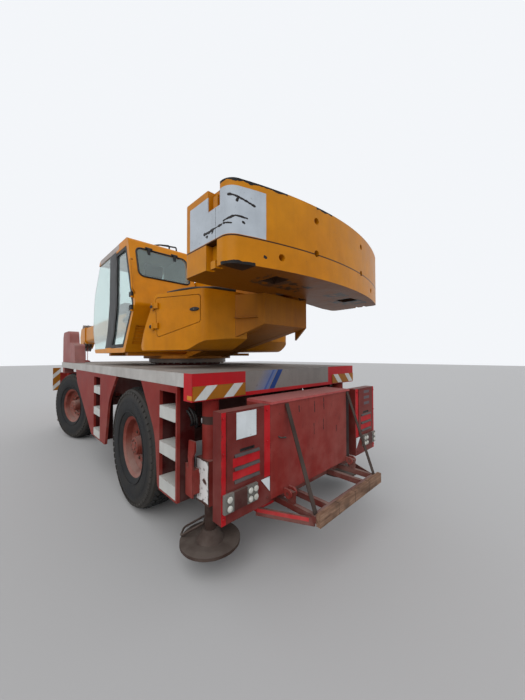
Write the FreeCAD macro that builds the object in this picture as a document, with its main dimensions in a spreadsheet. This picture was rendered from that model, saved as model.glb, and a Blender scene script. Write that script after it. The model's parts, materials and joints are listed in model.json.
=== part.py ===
import FreeCAD, Part
import math
import os
import re
from types import SimpleNamespace

# Two-axle mobile crane with one cab on its slewing upper works, all sizes in millimetres.
# Stations run forward from the deck's rear face. The frame's origin is on the ground under the
# middle of the whole machine, origin_station ahead of that face. +X is forward, +Y left, +Z up.

doc = FreeCAD.newDocument("MobileCrane")
sheet = doc.addObject("Spreadsheet::Sheet", "Sizes")

SIZES = (
    # alias, value
    ("origin_station", 4590),
    # deck and side panels
    ("deck_length", 5900),
    ("half_width", 1250),
    ("deck_top", 1600),
    ("deck_plate", 20),
    ("skirt_depth", 116),
    ("skirt_plate", 12),
    ("side_plate", 30),
    ("panel_foot", 516),
    ("rear_ladder_start", 230),
    ("rear_ladder_width", 340),
    ("rear_fender_reach", 460),
    ("side_panel_start", 1840),
    ("side_panel_end", 4310),
    ("side_panel_foot_start", 2330),
    ("side_panel_foot_end", 3080),
    ("step_recess", 150),
    ("step_height", 112),
    ("step_pitch", 322),
    ("step_lowest", 533),
    ("side_step_station", 2600),
    ("side_step_width", 350),
    # chassis
    ("rail_inner", 300),
    ("rail_outer", 400),
    ("rail_bottom", 930),
    ("rail_top", 1350),
    ("bearer_width", 120),
    ("bearer_rear", 260),
    ("bearer_ring", 2050),
    ("bearer_engine_rear", 3300),
    ("bearer_engine_front", 4330),
    ("bearer_front", 5760),
    ("engine_clearance", 40),
    # axles and wheels
    ("rear_axle_station", 1454),
    ("wheelbase", 3780),
    ("tyre_radius", 686),
    ("tyre_width", 375),
    ("tyre_face", 1222),
    ("rim_radius", 330),
    ("rim_dish", 150),
    ("hub_radius", 115),
    ("kingpin_offset", 800),
    ("kingpin_radius", 45),
    ("pin_clearance", 0.4),
    ("axle_beam", 90),
    ("diff_radius", 185),
    ("front_steer_angle", 16),
    # rear end
    ("rear_panel_plate", 20),
    ("rear_panel_height", 220),
    ("panel_return", 108),
    ("return_plate", 6),
    ("board_plate", 8),
    ("board_height", 110),
    ("board_width", 528),
    ("rear_face", 335),
    ("box_top", 1340),
    ("box_bottom", 570),
    ("locker_left", 720),
    ("locker_right", 560),
    ("cabinet_outer", 1205),
    ("cabinet_depth", 105),
    ("cabinet_width", 490),
    ("cabinet_bottom", 556),
    ("cabinet_plate", 14),
    ("lamp_width", 315),
    ("lamp_rise", 84),
    ("lamp_height", 130),
    ("lamp_depth", 24),
    # outriggers
    ("outrigger_station", 80),
    ("front_outrigger_lead", 390),
    ("beam_width", 190),
    ("beam_height", 290),
    ("beam_clearance", 6),
    ("sleeve_wall", 20),
    ("beam_length", 1880),
    ("beam_reach", 1100),
    ("jack_inset", 80),
    ("jack_radius", 70),
    ("jack_rod_radius", 48),
    ("jack_top", 1370),
    ("pad_radius", 250),
    ("pad_height", 60),
    ("pad_bottom", 190),
    # fold-down rack
    ("rack_half_width", 550),
    ("rack_hinge_height", 575),
    ("rack_hinge_reach", 45),
    ("rack_reach", 280),
    ("rack_bar", 50),
    ("rack_drop", 130),
    ("rack_pin_radius", 14),
    ("strap_width", 45),
    ("strap_plate", 6),
    # front end
    ("fender_inner", 1020),
    ("fender_outer", 1200),
    ("fender_lead", 534),
    ("fender_step_rise", 390),
    ("fender_rise", 690),
    ("fender_overhang", 200),
    ("bumper_lead", 210),
    # slewing upper works
    ("slew_station", 2300),
    ("pedestal_radius", 520),
    ("ring_radius", 620),
    ("ring_lift", 40),
    ("ring_height", 60),
    ("touch_gap", 0.3),
    ("table_radius", 700),
    ("table_plate", 45),
    ("frame_half_width", 238),
    ("frame_plate", 15),
    ("tail_half_width", 350),
    ("tail_plate", 30),
    ("tail_station", 100),
    ("tail_top_rise", 750),
    ("tail_low_rise", 430),
    ("lower_slab", 200),
    ("upper_slab", 410),
    ("weight_half_width", 1190),
    ("weight_tail_radius", 3450),
    ("weight_tail_reach", 600),
    ("weight_front", 240),
    ("housing_side", 1140),
    ("housing_top_rise", 780),
    ("housing_bottom_rise", 160),
    ("housing_front", 1350),
    ("housing_front_slant", 270),
    ("housing_turn", 1250),
    ("housing_taper", 19),
    ("housing_corner", 450),
    ("housing_rear", 383),
    ("housing_shoulder", 515),
    ("housing_belly", 650),
    ("right_housing_side", 1100),
    ("right_housing_rear", 1000),
    ("housing_wall", 25),
    ("door_gap", 6),
    ("housing_hinge_station", 1095),
    ("cab_hinge_station", 1630),
    ("hinge_pin", 8),
    ("hinge_barrel", 16),
    ("right_housing_front", 2350),
    ("drum_station", 330),
    ("drum_lift", 270),
    ("drum_radius", 150),
    ("drum_width", 380),
    # cab
    ("cab_side", 1130),
    ("cab_inner", 240),
    ("cab_floor_rise", 145),
    ("cab_height", 1515),
    ("cab_rear", 1560),
    ("cab_front", 3640),
    ("cab_sill", 65),
    ("cab_header", 75),
    ("hatch_height", 52),
    ("cab_wall", 45),
    ("cab_glass", 8),
    ("cab_door_frame", 45),
    # boom
    ("boom_pin_station", 950),
    ("boom_pin_rise", 960),
    ("boom_pin_radius", 60),
    ("boom_pitch", 1.5),
    ("boom_half_width", 215),
    ("boom_below_pin", 210),
    ("boom_above_pin", 270),
    ("boom_wall", 14),
    ("boom_gap", 9),
    ("boom_tail", 300),
    ("boom_base_length", 7950),
    ("boom_middle_nose", 8230),
    ("boom_top_nose", 8465),
    ("collar_length", 130),
    ("collar_rise", 28),
    ("sheave_radius", 160),
    ("sheave_drop", 305),
    ("sheave_width", 60),
    ("groove_depth", 12),
    ("groove_radius", 16),
    ("rope_radius", 9),
    ("barrel_pin_station", 1500),
    ("barrel_pin_rise", 360),
    ("rod_pin_station", 4000),
    ("rod_pin_drop", 375),
    ("barrel_radius", 95),
    ("rod_radius", 62),
    ("hook_drop", 330),
    ("hook_block_height", 420),
)

for row, (alias, value) in enumerate(SIZES, start=1):
    sheet.set(f"A{row}", alias)
    sheet.set(f"B{row}", str(value))
    sheet.setAlias(f"B{row}", alias)
doc.recompute()
s = SimpleNamespace(**{alias: float(sheet.get(alias)) for alias, value in SIZES})

# places that follow from the sizes: what stands on the slewing ring goes up and down with the deck
s.front_axle_station = s.rear_axle_station + s.wheelbase
s.front_outrigger_station = s.deck_length + s.front_outrigger_lead
s.bumper_front = s.front_outrigger_station + s.bumper_lead
s.ring_base = s.deck_top + s.ring_lift
for alias in ("tail_top", "tail_low", "housing_top", "housing_bottom", "cab_floor", "boom_pin", "barrel_pin"):
    setattr(s, alias, s.ring_base + getattr(s, alias + "_rise"))
s.rod_pin = s.boom_pin - s.rod_pin_drop
s.cab_roof = s.cab_floor + s.cab_height
s.weight_seam = s.tail_top + s.lower_slab
s.weight_top = s.weight_seam + s.upper_slab
s.drum_height = s.tail_top + s.drum_lift

NODES = []
X = FreeCAD.Vector(1, 0, 0)
Y = FreeCAD.Vector(0, 1, 0)
Z = FreeCAD.Vector(0, 0, 1)


# helpers: features bound to the sheet


def bind(feature, field, expression):
    feature.setExpression(field, re.sub(r"[a-z][a-z_0-9]+", lambda word: "Sizes." + word.group(0), expression))


def block(name, x, y, z):
    """A box between pairs of expressions in stations, widths and heights."""
    feature = doc.addObject("Part::Box", name)
    for field, (low, high) in zip(("Length", "Width", "Height"), (x, y, z)):
        bind(feature, field, f"({high}) - ({low})")
    bind(feature, "Placement.Base.x", f"({x[0]}) - origin_station")
    bind(feature, "Placement.Base.y", y[0])
    bind(feature, "Placement.Base.z", z[0])
    return feature


def rod(name, radius, length, start, axis):
    """A cylinder from start, a triple of expressions, along axis."""
    feature = doc.addObject("Part::Cylinder", name)
    feature.Placement.Rotation = FreeCAD.Rotation(Z, axis)
    bind(feature, "Radius", radius)
    bind(feature, "Height", length)
    bind(feature, "Placement.Base.x", f"({start[0]}) - origin_station")
    bind(feature, "Placement.Base.y", start[1])
    bind(feature, "Placement.Base.z", start[2])
    return feature


def fused(name, *features):
    feature = doc.addObject("Part::MultiFuse", name)
    feature.Shapes = list(features)
    return feature


def less(name, base, *tools):
    feature = doc.addObject("Part::Cut", name)
    feature.Base = base
    feature.Tool = tools[0] if len(tools) == 1 else fused(name + "_tools", *tools)
    return feature


def apart(name, *features):
    """Solids of one node that don't touch."""
    feature = doc.addObject("Part::Compound", name)
    feature.Links = list(features)
    return feature


def solid(name, shape):
    feature = doc.addObject("Part::Feature", name)
    feature.Shape = shape
    return feature


def node(feature, label):
    feature.Label = label
    NODES.append(feature)
    return feature


# helpers: outlines of lines and corner arcs


def rounded_edges(points, place):
    """Edges of a closed outline. Each point is (along, up, corner radius)."""
    starts, ends, arcs = [], [], []
    for index, (along, up, radius) in enumerate(points):
        corner = FreeCAD.Vector(along, up, 0)
        before = FreeCAD.Vector(*points[index - 1][:2], 0) - corner
        after = FreeCAD.Vector(*points[(index + 1) % len(points)][:2], 0) - corner
        before.normalize()
        after.normalize()
        half = before.getAngle(after) / 2
        if not radius:
            starts.append(corner)
            ends.append(corner)
            arcs.append(None)
            continue
        cut = radius / math.tan(half)
        middle = before + after
        middle.normalize()
        starts.append(corner + before * cut)
        ends.append(corner + after * cut)
        arcs.append(corner + middle * (radius / math.sin(half) - radius))
    edges = []
    for index in range(len(points)):
        if arcs[index] is not None:
            edges.append(Part.Arc(place(starts[index]), place(arcs[index]), place(ends[index])).toShape())
        leave, arrive = ends[index], starts[(index + 1) % len(points)]
        if (arrive - leave).Length > 1e-6:
            edges.append(Part.makeLine(place(leave), place(arrive)))
    return edges


def face(points, place):
    return Part.Face(Part.Wire(rounded_edges(points, place)))


def inset(points, step):
    """The outline moved inwards by step, or outwards when step is negative, with its corner arcs kept parallel."""
    area = sum(a[0] * b[1] - b[0] * a[1] for a, b in zip(points, points[1:] + points[:1]))
    turn = 1 if area > 0 else -1
    result = []
    for index, (along, up, radius) in enumerate(points):
        before, after = points[index - 1], points[(index + 1) % len(points)]
        u = FreeCAD.Vector(along - before[0], up - before[1], 0).normalize()
        v = FreeCAD.Vector(after[0] - along, after[1] - up, 0).normalize()
        bend = turn * (u.x * v.y - u.y * v.x)
        outward = 1 if bend > 0 else -1
        slide = step * math.tan(u.getAngle(v) / 2) * outward
        moved = FreeCAD.Vector(along, up, 0) + FreeCAD.Vector(-u.y, u.x, 0) * turn * step - u * slide
        result.append((moved.x, moved.y, max(radius - step * outward, 0) if radius else 0))
    return tuple(result)


def side_prism(points, low, high):
    """An outline of (station, height, radius) carried across from low to high."""
    outline = face(points, lambda p: FreeCAD.Vector(p.x - s.origin_station, low, p.y))
    return outline.extrude(FreeCAD.Vector(0, high - low, 0))


def plan_prism(points, low, high):
    """An outline of (station, offset, radius) carried up from low to high."""
    outline = face(points, lambda p: FreeCAD.Vector(p.x - s.origin_station, p.y, low))
    return outline.extrude(FreeCAD.Vector(0, 0, high - low))


def rear_prism(points, low, high):
    """An outline of (offset, height, radius) carried forward from station low to high."""
    outline = face(points, lambda p: FreeCAD.Vector(low - s.origin_station, p.x, p.y))
    return outline.extrude(FreeCAD.Vector(high - low, 0, 0))


def cuboid(x, y, z):
    return Part.makeBox(
        x[1] - x[0], y[1] - y[0], z[1] - z[0], FreeCAD.Vector(x[0] - s.origin_station, y[0], z[0])
    )


def round_bar(radius, length, start, axis):
    return Part.makeCylinder(radius, length, FreeCAD.Vector(start[0] - s.origin_station, start[1], start[2]), axis)


def flipped(shape):
    return shape.mirror(FreeCAD.Vector(0, 0, 0), Y)


def revolved(name, rows):
    """A turned piece about Y. Each row gives the offset along Y and the radius."""
    body = doc.addObject("PartDesign::Body", name)
    sketch = body.newObject("Sketcher::SketchObject", name + "_section")
    plane = next(item for item in body.Origin.OriginFeatures if item.Role == "YZ_Plane")
    sketch.AttachmentSupport = [(plane, "")]
    sketch.MapMode = "FlatFace"
    doc.recompute()
    corners = [FreeCAD.Vector(offset, radius, 0) for offset, radius in rows]
    for corner, following in zip(corners, corners[1:] + corners[:1]):
        sketch.addGeometry(Part.LineSegment(corner, following), False)
    turn = body.newObject("PartDesign::Revolution", name + "_turn")
    turn.Profile = sketch
    turn.ReferenceAxis = (sketch, ["H_Axis"])
    turn.Angle = 360
    body.Tip = turn
    return body


# deck: a plate with side skirts, open over the slewing pedestal

deck_rim = ("deck_top - skirt_depth", "deck_top")
deck_sheet = block("deck_sheet", ("0", "deck_length"), ("-half_width", "half_width"), ("deck_top - deck_plate", "deck_top"))
skirt_left = block("skirt_left", ("0", "deck_length"), ("half_width - skirt_plate", "half_width"), deck_rim)
skirt_right = block("skirt_right", ("0", "deck_length"), ("-half_width", "skirt_plate - half_width"), deck_rim)
skirt_front = block(
    "skirt_front", ("deck_length - skirt_plate", "deck_length"), ("-half_width", "half_width"), deck_rim
)
deck_hole = rod("deck_hole", "pedestal_radius + touch_gap", "deck_plate * 3", ("slew_station", "0", "deck_top - deck_plate * 2"), Z)
node(less("deck_cut", fused("deck_joined", deck_sheet, skirt_left, skirt_right, skirt_front), deck_hole), "deck")

# chassis: two rails, cross bearers under the deck and the pedestal of the slewing ring

sleeve_reach = "beam_width / 2 + beam_clearance + sleeve_wall"
rail_span = (f"outrigger_station + {sleeve_reach}", f"deck_length + front_outrigger_lead - ({sleeve_reach})")
rail_left = block("rail_left", rail_span, ("rail_inner", "rail_outer"), ("rail_bottom", "rail_top"))
rail_right = block("rail_right", rail_span, ("-rail_outer", "-rail_inner"), ("rail_bottom", "rail_top"))
bearers = []
for station in ("bearer_rear", "bearer_ring", "bearer_engine_rear", "bearer_engine_front", "bearer_front"):
    across = ("skirt_plate - half_width", "half_width - skirt_plate")
    along = (station, f"{station} + bearer_width")
    bearers.append(block(f"{station}_beam", along, across, ("deck_top - skirt_depth", "deck_top - deck_plate")))
    upright = ("rail_top", "deck_top - skirt_depth")
    bearers.append(block(f"{station}_post_left", along, ("rail_inner", "rail_outer"), upright))
    bearers.append(block(f"{station}_post_right", along, ("-rail_outer", "-rail_inner"), upright))
    tie = ("rail_bottom + 60", "rail_top - 60")
    bearers.append(block(f"{station}_tie", along, ("-rail_inner", "rail_inner"), tie))
pedestal = rod("pedestal", "pedestal_radius", "deck_top + ring_lift - rail_top + 60", ("slew_station", "0", "rail_top - 60"), Z)
node(fused("chassis_joined", rail_left, rail_right, pedestal, *bearers), "chassis_frame")

# engine and gearbox: one plain mass between the rails

engine_along = ("bearer_engine_rear + bearer_width + touch_gap", "bearer_engine_front - touch_gap")
node(
    block("engine", engine_along, ("engine_clearance - rail_inner", "rail_inner - engine_clearance"),
          ("rail_bottom - 150", "rail_top - engine_clearance")),
    "engine_block",
)

# slewing ring: the outer race bolted to the pedestal

race = rod("race", "ring_radius", "ring_height", ("slew_station", "0", "deck_top + ring_lift"), Z)
race_foot = ("slew_station", "0", "deck_top + ring_lift - ring_height")
race_bore = rod("race_bore", "ring_radius - 130", "ring_height * 3", race_foot, Z)
node(less("race_cut", race, race_bore), "slewing_ring")

# axles: a beam with a differential bowl and a kingpin at each end


def axle_shape(station):
    beam_half = s.kingpin_offset - s.kingpin_radius - 35
    beam = cuboid((station - s.axle_beam, station + s.axle_beam), (-beam_half, beam_half),
                  (s.tyre_radius - s.axle_beam, s.tyre_radius + s.axle_beam))
    bowl = round_bar(s.diff_radius, 2 * s.axle_beam + 90, (station - s.axle_beam - 45, 0, s.tyre_radius), X)
    springs = []
    for side in (1, -1):
        seat = (side * (s.rail_inner + s.rail_outer) / 2 - 45, side * (s.rail_inner + s.rail_outer) / 2 + 45)
        springs.append(cuboid((station - 60, station + 60), seat, (s.tyre_radius + s.axle_beam - 5, s.rail_bottom)))
        pin_y = side * s.kingpin_offset
        jaw = cuboid((station - 62, station + 62), sorted((side * (beam_half - 5), pin_y)), (0, 70)).fuse(
            round_bar(62, 70, (station, pin_y, 0), Z))
        top_jaw = jaw.translated(FreeCAD.Vector(0, 0, s.tyre_radius + 110))
        low_jaw = jaw.translated(FreeCAD.Vector(0, 0, s.tyre_radius - 180))
        web = cuboid((station - 70, station + 70), sorted((side * (beam_half - 60), side * beam_half)),
                     (s.tyre_radius - 180, s.tyre_radius + 180))
        kingpin = round_bar(s.kingpin_radius - s.pin_clearance, 360, (station, pin_y, s.tyre_radius - 180), Z)
        springs += [top_jaw, low_jaw, web, kingpin]
    return beam.multiFuse([bowl] + springs).removeSplitter()


axle_shapes = [axle_shape(station) for station in (s.rear_axle_station, s.rear_axle_station + s.wheelbase)]
node(solid("axles", Part.makeCompound(axle_shapes)), "axles")

# wheels: at each corner a steering knuckle, a rim and a tyre, turned together about the kingpin

wheel_centre = s.tyre_face - s.tyre_width / 2


def knuckle_shape(side):
    """The steering knuckle in place over the origin of its axle station, with its stub axle."""
    pin_y = s.kingpin_offset
    lug = Part.makeCylinder(s.kingpin_radius + 30, 220 - 2 * s.touch_gap, FreeCAD.Vector(0, pin_y, s.tyre_radius - 110 + s.touch_gap), Z)
    stub = Part.makeCylinder(70, wheel_centre - s.rim_dish - pin_y + 250, FreeCAD.Vector(0, pin_y, s.tyre_radius), Y)
    drum = Part.makeCylinder(205, 70, FreeCAD.Vector(0, pin_y + s.kingpin_radius + 20, s.tyre_radius), Y)
    arm = Part.makeBox(260, 45, 40, FreeCAD.Vector(-300, pin_y - 5, s.tyre_radius - 60))
    bore = Part.makeCylinder(s.kingpin_radius, 400, FreeCAD.Vector(0, pin_y, s.tyre_radius - 200), Z)
    shape = lug.multiFuse([stub, drum, arm]).cut(bore)
    return shape if side > 0 else flipped(shape)


half = s.tyre_width / 2
shoulder = s.tyre_radius - 55
TYRE = (
    # offset, radius
    (-half * 0.62, s.rim_radius), (-half * 0.92, s.rim_radius + 60), (-half, s.rim_radius + 170),
    (-half * 0.96, shoulder), (-half * 0.80, s.tyre_radius), (half * 0.80, s.tyre_radius),
    (half * 0.96, shoulder), (half, s.rim_radius + 170), (half * 0.92, s.rim_radius + 60), (half * 0.62, s.rim_radius),
)
RIM = (
    # offset outwards from the wheel's middle plane, radius
    (-half * 0.62, s.rim_radius - 22), (-half * 0.62, s.rim_radius - s.pin_clearance),
    (half * 0.62, s.rim_radius - s.pin_clearance), (half * 0.72, s.rim_radius + 20),
    (half * 0.78, s.rim_radius + 20), (half * 0.66, s.rim_radius - 24), (half * 0.30, s.rim_radius - 40),
    (-10, s.hub_radius + 60), (-10, s.hub_radius), (half * 0.55, s.hub_radius - 12), (half * 0.62, s.hub_radius - 40),
    (half * 0.62, 70 + s.pin_clearance), (-half * 0.30, 70 + s.pin_clearance), (-half * 0.30, s.hub_radius + 60), (half * 0.05, s.rim_radius - 60),
)
CORNERS = (
    # name, station, side, steering angle
    ("front_left", s.rear_axle_station + s.wheelbase, 1, s.front_steer_angle),
    ("front_right", s.rear_axle_station + s.wheelbase, -1, s.front_steer_angle),
    ("rear_left", s.rear_axle_station, 1, 0),
    ("rear_right", s.rear_axle_station, -1, 0),
)


def steered(feature, station, side, angle):
    """Turns a piece that stands over the origin about its kingpin, then moves it to its station."""
    kingpin = FreeCAD.Vector(0, side * s.kingpin_offset, 0)
    turn = FreeCAD.Rotation(Z, angle)
    feature.Placement = FreeCAD.Placement(
        kingpin - turn.multVec(kingpin) + FreeCAD.Vector(station - s.origin_station, 0, 0), turn
    ).multiply(feature.Placement)
    return feature


for corner, station, side, angle in CORNERS:
    knuckle = solid("knuckle_" + corner, knuckle_shape(side))
    node(steered(knuckle, station, side, angle), "knuckle_" + corner)
    for piece, rows in (("tyre_", TYRE), ("rim_", RIM)):
        wheel = revolved(piece + corner, rows)
        wheel.Placement = FreeCAD.Placement(
            FreeCAD.Vector(0, side * wheel_centre, s.tyre_radius), FreeCAD.Rotation(Z, 0 if side > 0 else 180)
        )
        node(steered(wheel, station, side, angle), piece + corner)

# side panels: plates down to the ladders, with recessed white steps

panel_top = s.deck_top - s.skirt_depth
step_places = [s.step_lowest + index * s.step_pitch for index in range(3)]


def ladder_panel(outline, window_start, window_width):
    """A plate under the deck's edge, cut for its ladder, with a closed recess behind it."""
    inner = s.half_width - s.side_plate
    plate = side_prism(outline, inner, s.half_width)
    window = cuboid((window_start, window_start + window_width), (inner - 10, s.half_width + 10),
                    (s.panel_foot + 15, panel_top - 60))
    back = s.half_width - s.step_recess
    tray = cuboid((window_start - 20, window_start + window_width + 20), (back - 20, inner + 5),
                  (s.panel_foot, panel_top))
    hollow = cuboid((window_start, window_start + window_width), (back, s.half_width),
                    (s.panel_foot + 15, panel_top - 60))
    return plate.cut(window).fuse(tray.cut(hollow))


rear_foot_end = s.rear_ladder_start + s.rear_ladder_width + 40
REAR_PANEL = (
    (s.rear_ladder_start, panel_top, 0), (s.rear_ladder_start, s.panel_foot, 0),
    (rear_foot_end, s.panel_foot, 60), (rear_foot_end + 60, 1000, 500),
    (rear_foot_end + s.rear_fender_reach - 40, panel_top, 0),
)
SIDE_PANEL = (
    (s.side_panel_start, panel_top, 0), (s.side_panel_start + 330, 1150, 500), (s.side_panel_foot_start, s.panel_foot, 30),
    (s.side_panel_foot_end, s.panel_foot, 40), (s.side_panel_end - 120, 1250, 160), (s.side_panel_end, panel_top, 0),
)
rear_ladder = ladder_panel(REAR_PANEL, s.rear_ladder_start + 25, s.rear_ladder_width - 25)
side_panel = ladder_panel(SIDE_PANEL, s.side_step_station, s.side_step_width)
node(solid("rear_ladders", Part.makeCompound([rear_ladder, flipped(rear_ladder)])), "rear_ladders")
node(solid("side_panels", Part.makeCompound([side_panel, flipped(side_panel)])), "side_panels")

steps = []
for start, width in ((s.rear_ladder_start + 25, s.rear_ladder_width - 25), (s.side_step_station, s.side_step_width)):
    for low in step_places:
        tread = cuboid((start + s.touch_gap, start + width - s.touch_gap),
                       (s.half_width - s.step_recess + s.touch_gap, s.half_width), (low, low + s.step_height))
        hollow = cuboid((start + 20, start + width - 20), (s.half_width - s.step_recess + 20, s.half_width - 20),
                        (low - 10, low + s.step_height - 12))
        tread = tread.cut(hollow)
        steps += [tread, flipped(tread)]
node(solid("ladder_steps", Part.makeCompound(steps)), "ladder_steps")

# front end: fenders over the front wheels, the bumper box and its striped boards

fender_start = s.front_axle_station - s.fender_lead
fender_end = s.deck_length + s.fender_overhang
fender_step = s.deck_top + s.fender_step_rise
fender_top = s.deck_top + s.fender_rise
FENDER = (
    (fender_start, s.deck_top, 0), (fender_start + 70, fender_step, 70), (fender_start + 560, fender_step + 20, 60),
    (fender_start + 640, fender_top, 110), (fender_end, fender_top, 160), (fender_end, s.deck_top - 260, 40),
    (s.deck_length + s.touch_gap, s.deck_top - 260, 0), (s.deck_length + s.touch_gap, s.deck_top, 0),
)
fender = side_prism(FENDER, s.fender_inner, s.fender_outer)
node(solid("front_fenders", Part.makeCompound([fender, flipped(fender)])), "front_fenders")

beam_pitch = s.beam_height + 2 * s.beam_clearance + s.sleeve_wall


def beam_low(upper):
    """The underside of the lower or the upper outrigger beam."""
    return s.box_bottom + s.sleeve_wall + s.beam_clearance + (beam_pitch if upper else 0)


def sleeve(station):
    """A cross box on the chassis with two tunnels, one above the other, for the outrigger beams."""
    half_box = s.beam_width / 2 + s.beam_clearance + s.sleeve_wall
    outer_half = s.beam_reach - 2 * s.jack_inset - 10
    top = beam_low(True) + s.beam_height + s.beam_clearance + s.sleeve_wall
    box = cuboid((station - half_box, station + half_box), (-outer_half, outer_half), (s.box_bottom, top))
    for upper in (False, True):
        low = beam_low(upper) - s.beam_clearance
        tunnel = cuboid(
            (station - s.beam_width / 2 - s.beam_clearance, station + s.beam_width / 2 + s.beam_clearance),
            (-outer_half - 10, outer_half + 10), (low, low + s.beam_height + 2 * s.beam_clearance),
        )
        box = box.cut(tunnel)
    pads = []
    for upper in (False, True):
        for side in (1, -1):
            for level, start in ((beam_low(upper) - s.beam_clearance, 0), (beam_low(upper) + s.beam_height, 1)):
                pad_y = sorted((side * (outer_half - 80), side * outer_half))
                thick = s.beam_clearance - s.touch_gap
                low = level if start == 0 else level + s.touch_gap
                pads.append(cuboid((station - 80, station + 80), pad_y, (low, low + thick)))
    return box.multiFuse(pads)


sleeves = [sleeve(station) for station in (s.outrigger_station, s.front_outrigger_station)]
node(solid("outrigger_boxes", Part.makeCompound(sleeves)), "outrigger_boxes")

# outriggers: a beam with its jack housing, and the jack's rod with its foot


def hook_plate(station, side):
    """A hooked plate on a block outside the beam's post, for the jack's loose mat."""
    low, high = sorted((side * (s.beam_reach + 60), side * (s.beam_reach + 75)))
    edge = station + s.beam_width / 2 - 175
    outline = ((112, 575, 0), (224, 575, 20), (224, 880, 8), (196, 800, 8), (172, 820, 12), (186, 900, 25), (170, 1040, 10),
               (75, 1045, 10), (75, 960, 10), (112, 900, 0))
    plate = side_prism(tuple((edge + along, up, radius) for along, up, radius in outline), low, high)
    return plate.fuse(cuboid((edge + 112, edge + 172), sorted((side * (s.beam_reach - 5), side * (s.beam_reach + 65))), (600, 800)))


def beam_shape(station, side, upper):
    """A sliding beam that ends in an upright jack housing at its outer end."""
    low = beam_low(upper)
    across = sorted((side * s.beam_reach, side * (s.beam_reach - s.beam_length)))
    beam = cuboid((station - s.beam_width / 2, station + s.beam_width / 2), across, (low, low + s.beam_height))
    hollow_y = sorted((side * (s.beam_reach - 2 * s.jack_inset - 30), side * (s.beam_reach - s.beam_length + 15)))
    hollow = cuboid((station - s.beam_width / 2 + 15, station + s.beam_width / 2 - 15), hollow_y,
                    (low + 15, low + s.beam_height - 15))
    jack_y = side * (s.beam_reach - s.jack_inset)
    foot = beam_low(False) - 80
    housing = round_bar(s.jack_radius, s.jack_top - foot, (station, jack_y, foot), Z)
    bore = round_bar(s.jack_rod_radius + s.pin_clearance, s.jack_top - foot, (station, jack_y, foot - 25), Z)
    end_low = beam_low(False) - 70
    post = cuboid((station - s.beam_width / 2, station + s.beam_width / 2),
                  sorted((side * (s.beam_reach - 2 * s.jack_inset + 5), side * s.beam_reach)),
                  (end_low, low + s.beam_height))
    if station == s.outrigger_station:
        post = post.fuse(hook_plate(station, side))
    return beam.cut(hollow).fuse(post).fuse(housing).cut(bore).removeSplitter()


def jack_shape(station, side):
    """The jack's rod with a round foot plate on a ball."""
    jack_y = side * (s.beam_reach - s.jack_inset)
    top = s.jack_top - 60
    shaft = round_bar(s.jack_rod_radius, top - s.pad_bottom - s.pad_height, (station, jack_y, s.pad_bottom + s.pad_height), Z)
    plate = round_bar(s.pad_radius, s.pad_height * 0.4, (station, jack_y, s.pad_bottom), Z)
    boss = Part.makeCone(s.jack_rod_radius + 70, s.jack_rod_radius + 12, s.pad_height * 1.4,
                         FreeCAD.Vector(station - s.origin_station, jack_y, s.pad_bottom + s.pad_height * 0.4), Z)
    return shaft.multiFuse([plate, boss])


OUTRIGGERS = (
    # name, station, side, beam in the upper tunnel
    ("rear_left", s.outrigger_station, 1, False),
    ("rear_right", s.outrigger_station, -1, True),
    ("front_left", s.front_outrigger_station, 1, False),
    ("front_right", s.front_outrigger_station, -1, True),
)
for name, station, side, upper in OUTRIGGERS:
    node(solid("outrigger_beam_" + name, beam_shape(station, side, upper)), "outrigger_beam_" + name)
    node(solid("outrigger_jack_" + name, jack_shape(station, side)), "outrigger_jack_" + name)

# rear end: cross panel with striped boards, locker, lamp cabinets

panel_rise = ("deck_top - rear_panel_height", "deck_top")
return_out = "half_width + touch_gap + return_plate"
panel = block("panel", ("-rear_panel_plate", "0"), (f"-({return_out})", return_out), panel_rise)
return_along = ("-rear_panel_plate", "panel_return")
return_left = block("return_left", return_along, ("half_width + touch_gap", return_out), panel_rise)
return_right = block("return_right", return_along, (f"-({return_out})", "-half_width - touch_gap"), panel_rise)
node(fused("cross_panel", panel, return_left, return_right), "rear_cross_panel")
board_span = ("-rear_panel_plate - board_plate", "-rear_panel_plate")
board_rise = ("deck_top - rear_panel_height + 10", "deck_top - rear_panel_height + 10 + board_height")
board_left = block("board_left", board_span, ("half_width - board_width", "half_width"), board_rise)
board_right = block("board_right", board_span, ("-half_width", "board_width - half_width"), board_rise)
node(apart("boards", board_left, board_right), "striped_boards")

sleeve_half = s.beam_width / 2 + s.beam_clearance + s.sleeve_wall
locker_front = s.outrigger_station - sleeve_half
locker = cuboid((-s.rear_face, locker_front), (-s.locker_right, s.locker_left - s.touch_gap), (s.box_bottom, s.box_top))
locker_lip = cuboid((-s.rear_face - 12, locker_front), (-s.locker_right, s.locker_left - s.touch_gap), (s.box_top - 1, s.box_top + 20))
locker = locker.fuse(locker_lip)
hinge_centre = (-s.rear_face - s.rack_hinge_reach, s.rack_hinge_height)
RACK_LUGS = (s.rack_half_width - 30, 30 - s.rack_half_width)
lugs = []
for middle in RACK_LUGS:
    for offset in (-42, 22):
        eye = round_bar(38, 20, (hinge_centre[0], middle + offset, hinge_centre[1]), Y)
        foot = cuboid((hinge_centre[0], -s.rear_face + 1), (middle + offset, middle + offset + 20),
                      (hinge_centre[1] - 5, hinge_centre[1] + 38))
        lugs.append(eye.fuse(foot))
locker = locker.multiFuse(lugs)
for middle in RACK_LUGS:
    locker = locker.cut(round_bar(s.rack_pin_radius + s.pin_clearance, 120, (hinge_centre[0], middle - 60, hinge_centre[1]), Y))
node(solid("rear_locker", locker), "rear_locker")


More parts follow.
